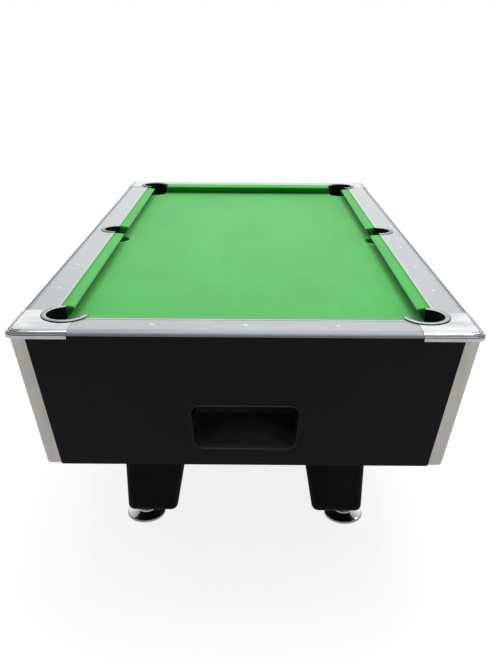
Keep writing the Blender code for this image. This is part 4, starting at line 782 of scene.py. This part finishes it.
for side in TURNS:
    low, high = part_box("rail_" + side)
    inner, outer, half = reach("rail_" + side)
    top, lip = high.z, high.z - RAIL_LIP
    back = outer + OUTLINE_SET_IN - RAIL_BACK_INSET
    rail = block(f"rail_{side}_nosed", (inner, -half, lip), (outer, half, top))
    open_mesh()
    flat_round(lambda: pick("EDGE", lambda at, way: at.z > top - CLOSE and at.x > outer - CLOSE),
               NOSING_RUN, NOSING_DROP, top, 14)
    bpy.ops.mesh.bisect(plane_co=(back, 0, 0), plane_no=(1, 0, 0))
    pick("FACE", lambda at, way: way.z < -ALONG and at.x < back)
    bpy.ops.mesh.extrude_region_move(TRANSFORM_OT_translate={"value": (0, 0, low.z - lip)})
    close_mesh(face_out=True)
    turn_to(rail, side)
    cut(rail, *pocket_cutters(CORNER_CUT, SIDE_CUT, low.z - CUT_PAST, top + CUT_PAST))
    polish(rail, angle=25)
    fit(rail, "cabinet", "rail_laminate", RAIL_LAMINATE, "rail_" + side)


# Edge strips: a narrow pale trim along the inner edge of each rail that covers the
# joint between laminate and cushion cloth. Extruded plastic, pressed in.
STRIP_WIDTH, STRIP_SEAT, STRIP_RISE = 0.0070, 0.0001, 0.0009
STRIP_OVER, STRIP_EASE = 0.0004, 0.0003
SIDE_STRIP_END, CORNER_STRIP_END = 0.0625, 0.030
TRIM_WHITE = surface("pale trim", (0.56, 0.72, 0.59), (0.63, 0.77, 0.65), (0.34, 0.46), patch=9.0,
                     grain=500.0, bump=0.03)
for side in TURNS:
    inner, outer, half = reach("rail_" + side)
    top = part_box("rail_" + side)[1].z
    last = half - CORNER_STRIP_END
    runs = [(-last, -SIDE_STRIP_END), (SIDE_STRIP_END, last)]
    if side in ("front", "rear"):
        runs = [(-last, last)]
    strips = [block("strip", (inner - STRIP_OVER, start, top + STRIP_SEAT),
                    (inner - STRIP_OVER + STRIP_WIDTH, end, top + STRIP_RISE))
              for start, end in runs]
    strip = joined("edge_strip_" + side, *strips)
    ease(strip, STRIP_EASE)
    turn_to(strip, side)
    polish(strip)
    fit(strip, "cabinet", "rail_laminate", TRIM_WHITE)


# Sights: eighteen round white inlays set into the rails, three to each stretch between
# pockets. Turned from pearl-white plastic and slightly domed.
SIDE_PITCH, END_PITCH, SIGHT_INSET = 0.253, 0.2455, 0.0555
SIGHT = ((0.0061, 0.0001), (0.0065, 0.0003), (0.0063, 0.0006), (0.0050, 0.0009), (0.0026, 0.0010))
SIGHT_WHITE = surface("pearl white", (0.90, 0.90, 0.88), (0.96, 0.96, 0.95), (0.2, 0.3), patch=60.0,
                      grain=900.0, bump=0.02, Coat_Weight=0.3)
for side in TURNS:
    inner, outer, half = reach("rail_" + side)
    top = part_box("rail_" + side)[1].z
    if side in ("front", "rear"):
        spots = [step * END_PITCH for step in (-1, 0, 1)]
    else:
        spots = [step * SIDE_PITCH for step in (-3, -2, -1, 1, 2, 3)]
    profile = [(radius, top + rise) for radius, rise in SIGHT]
    dots = [turned("sight", outer - SIGHT_INSET, spot, profile, sides=28) for spot in spots]
    dot = joined("sights_" + side, *dots)
    turn_to(dot, side)
    polish(dot, angle=50)
    fit(dot, "cabinet", "rail_laminate", SIGHT_WHITE)


# Corner castings: chromed die castings that cap the rails at the corners, rounded on plan.
# Each is a plate with a rounded shoulder, cut through for the pocket, with two lines
# engraved along its side and a stepped lip that hangs in front of the cabinet.
CASTING_CORNER, PLATE_SET_IN, SHOULDER_RUN, SHOULDER_DROP = 0.034, 0.003, 0.020, 0.0090
LIP_WALL, LIP_HEIGHT, LIP_EASE = 0.0045, 0.0102, 0.0011
STEP_GROOVE = 0.0012
LINE_GROOVES, LINE_WIDTH, LINE_SLACK = ((0.0055, 0.0042), (0.0115, 0.0024)), 0.0026, 0.0002
LINE_TINT = (0.10, 0.10, 0.11)
CAP_EDGE_START, CAP_EDGE_FULL, CAP_EDGE_SHADE = 0.012, 0.004, (0.42, 0.43, 0.45)
CAP_LOW_START, CAP_LOW_FULL, CAP_LOW_SHADE = 0.0042, 0.0072, (0.50, 0.51, 0.53)


def corner_block(name, low, high, corner):
    """A block at the front right corner, rounded on plan at its outer corner."""
    piece = block(name, low, high)
    open_mesh()
    round_where(lambda at, way: abs(way.z) > ALONG and at.x > high[0] - NEAR
                and at.y < low[1] + NEAR, corner, 16)
    close_mesh()
    return piece


def pick_outer_edges(low, high, level):
    """Selects a corner block's outer edges at a level."""
    pick("EDGE", lambda at, way: abs(at.z - level) < CLOSE
         and (at.x > high[0] - CASTING_CORNER or at.y < low[1] + CASTING_CORNER)
         and at.x > low[0] + NEAR and at.y < high[1] - NEAR)


low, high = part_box("corner_casting_front_right")
rail_low_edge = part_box("rail_front")[1].z - RAIL_LIP
plate_low = Vector((low.x, low.y + PLATE_SET_IN, rail_low_edge))
plate_high = Vector((high.x - PLATE_SET_IN, high.y, high.z))
plate_corner = CASTING_CORNER - PLATE_SET_IN
casting = corner_block("casting", plate_low, plate_high, plate_corner)
open_mesh()
flat_round(lambda: pick_outer_edges(plate_low, plate_high, high.z), SHOULDER_RUN, SHOULDER_DROP,
           high.z, 12)
close_mesh()
lip_high = Vector((high.x, high.y, low.z + LIP_HEIGHT))
lip = corner_block("lip", low, lip_high, CASTING_CORNER)
open_mesh()
for level in (low.z, lip_high.z):
    pick_outer_edges(low, lip_high, level)
    bpy.ops.mesh.bevel(offset=LIP_EASE, segments=3, affect="EDGES")
close_mesh()
cut(lip, corner_block("hollow", (low.x - CUT_PAST, low.y + LIP_WALL, low.z - CUT_PAST),
                      (high.x - LIP_WALL, high.y + CUT_PAST, rail_low_edge),
                      CASTING_CORNER - LIP_WALL))
step_in = PLATE_SET_IN - STEP_GROOVE
cut(lip, corner_block("groove", (low.x - CUT_PAST, low.y + step_in, lip_high.z - STEP_GROOVE),
                      (high.x - step_in, high.y + CUT_PAST, lip_high.z + CUT_PAST),
                      CASTING_CORNER - step_in))
cut(casting, lip, operation="UNION")
line_end = plate_high.x - plate_corner
for set_in, depth in LINE_GROOVES:
    walls = [corner_block("line", (line_end - inset, plate_low.y + inset, high.z - depth),
                          (plate_high.x - inset, high.y + CUT_PAST + inset, high.z + CUT_PAST),
                          plate_corner - inset) for inset in (set_in, set_in + LINE_WIDTH)]
    cut(walls[0], walls[1])
    cut(casting, walls[0])
cut(casting, rod("pocket", corner_pocket.x, corner_pocket.y, CORNER_CUT, low.z - CUT_PAST,
                 high.z + CUT_PAST))


def in_line(spot):
    """Whether a point of the casting is in one of its engraved lines."""
    centre = Vector((line_end, plate_low.y + plate_corner))
    if spot.x < line_end - LINE_WIDTH - LINE_GROOVES[-1][0]:
        return False
    if spot.x > centre.x and spot.y < centre.y:
        set_in = plate_corner - (spot.xy - centre).length
    else:
        set_in = min(plate_high.x - spot.x, spot.y - plate_low.y)
    return any(-LINE_SLACK < set_in - start < LINE_WIDTH + LINE_SLACK for start, depth in LINE_GROOVES)


mesh = casting.data
engraved = mesh.attributes.new("engraved", "FLOAT", "FACE")
for face in mesh.polygons:
    in_lines = all(in_line(mesh.vertices[corner].co) for corner in face.vertices)
    engraved.data[face.index].value = 1.0 if in_lines and face.center.z > lip_high.z else 0.0
CAST_CHROME = surface(
    "smudged cast chrome", (0.62, 0.65, 0.65), (0.90, 0.92, 0.92), (0.10, 0.22), patch=16.0,
    grain=20.0, bump=0.14, depth=0.006, stretch=(0.5, 1.4, 2.0), Metallic=1.0,
)
# Painted shade: the chrome is painted darker from 12 mm to 4 mm inside its outer side edges.
tint_where(CAST_CHROME, ramp(CAST_CHROME, "X", high.x - CAP_EDGE_START,
                             high.x - CAP_EDGE_FULL), CAP_EDGE_SHADE)
# Painted shade: from 4 mm below the top downwards, the shoulder and lip are painted darker.
tint_where(CAST_CHROME, ramp(CAST_CHROME, "Z", high.z - CAP_LOW_START,
                             high.z - CAP_LOW_FULL), CAP_LOW_SHADE)
lines = add_node(CAST_CHROME.node_tree, "Attribute", {"attribute_name": "engraved"})
tint_where(CAST_CHROME, lines.outputs["Fac"], LINE_TINT)
for corner, piece in for_each_corner(casting, "corner_cap").items():
    polish(piece, angle=25)
    fit(piece, "cabinet", "chrome", CAST_CHROME, "corner_casting_" + corner)


# Pocket liners: black rubber tubes pushed down through castings and rails, cut away
# towards the bed. Each keeps a thin black rim, on which lies the satin metal ring that
# trims the pocket's edge.
RIM_THICKNESS, RIM_LEFT = 0.003, 0.0012
RING_OVERHANG, RING_MARGIN, RING_RISE = 0.0045, 0.0018, 0.0018
RING_SIDES, RING_STEPS, HAIR, SPECK = 24, 72, 0.00001, 0.000001
RUBBER = surface("black rubber", (0.004, 0.005, 0.007), (0.008, 0.009, 0.012), (0.5, 0.65), patch=14.0,
                 grain=800.0, bump=0.12, Specular_IOR_Level=0.25)
RING_METAL = surface("bright ring", (0.33, 0.36, 0.355), (0.46, 0.49, 0.48), (0.42, 0.55), patch=30.0,
                     grain=200.0, bump=0.03, Metallic=1.0)
for name, (low, high) in liner_boxes.items():
    seat = high.z - RIM_THICKNESS + RIM_LEFT
    liner = welded_copy(LINER + name, "pocket_tube_" + name)
    open_mesh()
    bpy.ops.mesh.bisect(plane_co=(0, 0, seat), plane_no=(0, 0, 1), clear_outer=True, use_fill=True)
    close_mesh()
    polish(liner)
    fit(liner, "cabinet", "black_rubber", RUBBER, LINER + name)
    middle, bore, rim, mouth, towards_bed = pocket_at(name)
    inside, outside = bore - RING_OVERHANG, rim - RING_MARGIN
    bpy.ops.mesh.primitive_circle_add(vertices=RING_SIDES, radius=0.5, fill_type="NGON",
                                      location=((inside + outside) / 2, 0, seat),
                                      rotation=(math.pi / 2, 0, 0))
    ring = bpy.context.object
    ring.scale = (outside - inside, 2 * RING_RISE, 1)
    settle(ring, "pocket_ring_" + name)
    ring.rotation_euler = (0, 0, towards_bed - mouth / 2)
    settle(ring)
    open_mesh()
    pick("VERT", lambda at, way: at.z < seat + HAIR)
    bpy.ops.transform.resize(value=(1, 1, 0), center_override=(0, 0, seat))
    bpy.ops.mesh.select_all(action="SELECT")
    bpy.ops.mesh.spin(steps=RING_STEPS, angle=2 * math.pi - mouth, center=(0, 0, 0), axis=(0, 0, 1))
    bpy.ops.mesh.select_all(action="SELECT")
    bpy.ops.mesh.remove_doubles(threshold=SPECK)
    close_mesh(face_out=True)
    ring.location = middle
    settle(ring)
    polish(ring)
    fit(ring, "cabinet", "chrome", RING_METAL)


# Cushions: moulded rubber of undercut section glued to the rails and wrapped in the same
# cloth, drawn tight over the rounded nose and folded in at the pocket ends.
NOSE_ROUND, END_ROUND, CROWN, CROWN_DEPTH = 0.0026, 0.0016, 0.0006, 0.01
CUSHION_CUTS = 24
JOINT_SHADE, JOINT_SHADE_TINT = 0.012, (0.5, 0.62, 0.5)
NOSE_DEPTH, UNDER_SHADE, UNDERCUT_SHADE_TINT = 0.0065, 0.0035, (0.10, 0.42, 0.2)
CUSHION_CLOTH = napped_cloth("green cushion cloth", CUSHION_SHEEN, patch=3.0, bump=0.3)
joint_x, joint_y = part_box("cushion_right_front")[1].x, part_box("cushion_rear")[1].y
# Painted shade: the cushion cloth is painted darker over the 12 mm next to the rail joint.
for axis, joint in (("X", joint_x), ("Y", joint_y)):
    tint_where(CUSHION_CLOTH, ramp(CUSHION_CLOTH, axis, joint - JOINT_SHADE, joint), JOINT_SHADE_TINT)
# Painted shade: below the nose the cloth is painted darker and greener, for the shade of the undercut.
nose_low = rail_top - NOSE_DEPTH
tint_where(CUSHION_CLOTH, ramp(CUSHION_CLOTH, "Z", nose_low, nose_low - UNDER_SHADE), UNDERCUT_SHADE_TINT)
for name in ("front", "rear", "left_front", "left_rear", "right_front", "right_rear"):
    low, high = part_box("cushion_" + name)
    axis = 0 if name in ("front", "rear") else 1
    across = 1 - axis
    nose = low[across] if low[across] > 0 else high[across]
    middle = (low[across] + high[across]) / 2
    cushion = welded_copy("cushion_" + name, f"cushion_{name}_wrapped")
    open_mesh()
    pick("EDGE", lambda at, way: abs(way[axis]) > ALONG)
    bpy.ops.mesh.subdivide(number_cuts=CUSHION_CUTS)
    cut_at, cut_way = Vector((0, 0, 0)), Vector((0, 0, 0))
    cut_at[across], cut_way[across] = middle, 1
    bpy.ops.mesh.select_all(action="SELECT")
    bpy.ops.mesh.bisect(plane_co=cut_at, plane_no=cut_way)
    pick("VERT", lambda at, way: abs(at[across] - middle) < HAIR and at.z > high.z - CROWN_DEPTH)
    bpy.ops.transform.translate(value=(0, 0, CROWN))
    round_where(lambda at, way: abs(way[axis]) > ALONG and abs(at[across] - nose) < CLOSE,
                NOSE_ROUND, 6)
    close_mesh()
    ease(cushion, END_ROUND, steps=3, over=50)
    polish(cushion, angle=40)
    fit(cushion, "cabinet", "cloth_cushion", CUSHION_CLOTH, "cushion_" + name)


# Studio: a wide white floor under the table that fades to plain white far off, a white
# surround that lights the table less from the front than from behind, one large soft
# lamp overhead and a weaker one at the front.
FLOOR_SPAN, FLOOR_DROP = 60.0, 0.0005
FLOOR_TONE, LIFT_NEAR, LIFT_FAR, NEAR_FLOOR, FAR_FLOOR = 0.40, 0.82, 0.86, 2.5, 9.0
BEHIND, IN_FRONT, ZENITH = 1.0, 0.25, 0.40
BACK_START, BACK_FULL, CLIMB_START, CLIMB_FULL = 0.1, 0.8, 0.35, 0.95
LAMPS = (("overhead lamp", (0.4, 1.0, 4.2), (0, 0.2, 0.4), 3.6, 106),
         ("front lamp", (2.0, -4.6, 1.9), (0, -0.8, 0.5), 1.8, 11))
bpy.ops.mesh.primitive_plane_add(size=FLOOR_SPAN, location=(0, 0, -FLOOR_DROP))
floor = bpy.context.object
floor.name = "studio_floor"
white_floor = bpy.data.materials.new("white floor")
white_floor.use_nodes = True
tree = white_floor.node_tree
tree.nodes.remove(tree.nodes["Principled BSDF"])
diffuse = add_node(tree, "BsdfDiffuse", Color=(FLOOR_TONE, FLOOR_TONE, FLOOR_TONE, 1))
place, path, lift, both = (add_node(tree, kind)
                           for kind in ("TexCoord", "LightPath", "Emission", "AddShader"))
away = add_node(tree, "VectorMath", {"operation": "LENGTH"})
spread = add_node(tree, "MapRange", From_Min=NEAR_FLOOR, From_Max=FAR_FLOOR, To_Min=LIFT_NEAR,
                  To_Max=LIFT_FAR)
direct, seen, strength = (add_node(tree, "Math", {"operation": kind})
                          for kind in ("MAXIMUM", "MAXIMUM", "MULTIPLY"))
connect(tree, (place, "Object", away, 0), (away, "Value", spread, "Value"),
        (path, "Is Camera Ray", direct, 0), (path, "Is Glossy Ray", direct, 1),
        (direct, 0, seen, 0), (path, "Is Transmission Ray", seen, 1),
        (seen, 0, strength, 0), (spread, "Result", strength, 1),
        (strength, 0, lift, "Strength"), (diffuse, 0, both, 0), (lift, 0, both, 1),
        (both, 0, tree.nodes["Material Output"], "Surface"))
floor.data.materials.append(white_floor)

world = bpy.data.worlds.new("studio surround")
bpy.context.scene.world = world
world.use_nodes = True
tree = world.node_tree
background = tree.nodes["Background"]
background.inputs["Color"].default_value = (1, 1, 1, 1)
place, parts, path = (add_node(tree, kind) for kind in ("TexCoord", "SeparateXYZ", "LightPath"))
around = add_node(tree, "MapRange", {"interpolation_type": "SMOOTHSTEP"}, From_Min=BACK_START,
                  From_Max=BACK_FULL, To_Min=IN_FRONT, To_Max=BEHIND)
climb = add_node(tree, "MapRange", From_Min=CLIMB_START, From_Max=CLIMB_FULL)
level_to_top = add_node(tree, "Mix", B=ZENITH)
backdrop = add_node(tree, "Mix", B=BEHIND)
connect(tree, (place, "Generated", parts, "Vector"), (parts, "Y", around, "Value"),
        (parts, "Z", climb, "Value"), (climb, "Result", level_to_top, "Factor"),
        (around, "Result", level_to_top, "A"), (path, "Is Camera Ray", backdrop, "Factor"),
        (level_to_top, "Result", backdrop, "A"), (backdrop, "Result", background, "Strength"))

for name, at, aim, size, power in LAMPS:
    lamp = bpy.data.lights.new(name, "AREA")
    lamp.shape, lamp.size, lamp.energy = "SQUARE", size, power
    holder = new_object(name, lamp)
    holder.location = at
    holder.rotation_euler = (Vector(aim) - Vector(at)).to_track_quat("-Z", "Y").to_euler()


# Camera: at the near end of the table and above its rails, looking down the length of
# the bed.
LENS = 38.89
CAMERA_AT = Vector((0.00795, -2.82206, 1.4797))
YAW, PITCH, ROLL = math.radians(-0.035), math.radians(21.625), math.radians(0.394)
camera = new_object("camera", bpy.data.cameras.new("camera"))
camera.data.lens = LENS
camera.location = CAMERA_AT
camera.rotation_mode = "QUATERNION"
forward = Vector((math.sin(YAW) * math.cos(PITCH), math.cos(YAW) * math.cos(PITCH),
                  -math.sin(PITCH)))
level = Vector((math.cos(YAW), -math.sin(YAW), 0))
above = level.cross(forward)
right = math.cos(ROLL) * level + math.sin(ROLL) * above
up = -math.sin(ROLL) * level + math.cos(ROLL) * above
camera.rotation_quaternion = Matrix((right, up, -forward)).transposed().to_quaternion()
bpy.context.scene.camera = camera
bpy.context.scene.view_settings.view_transform = "Standard"
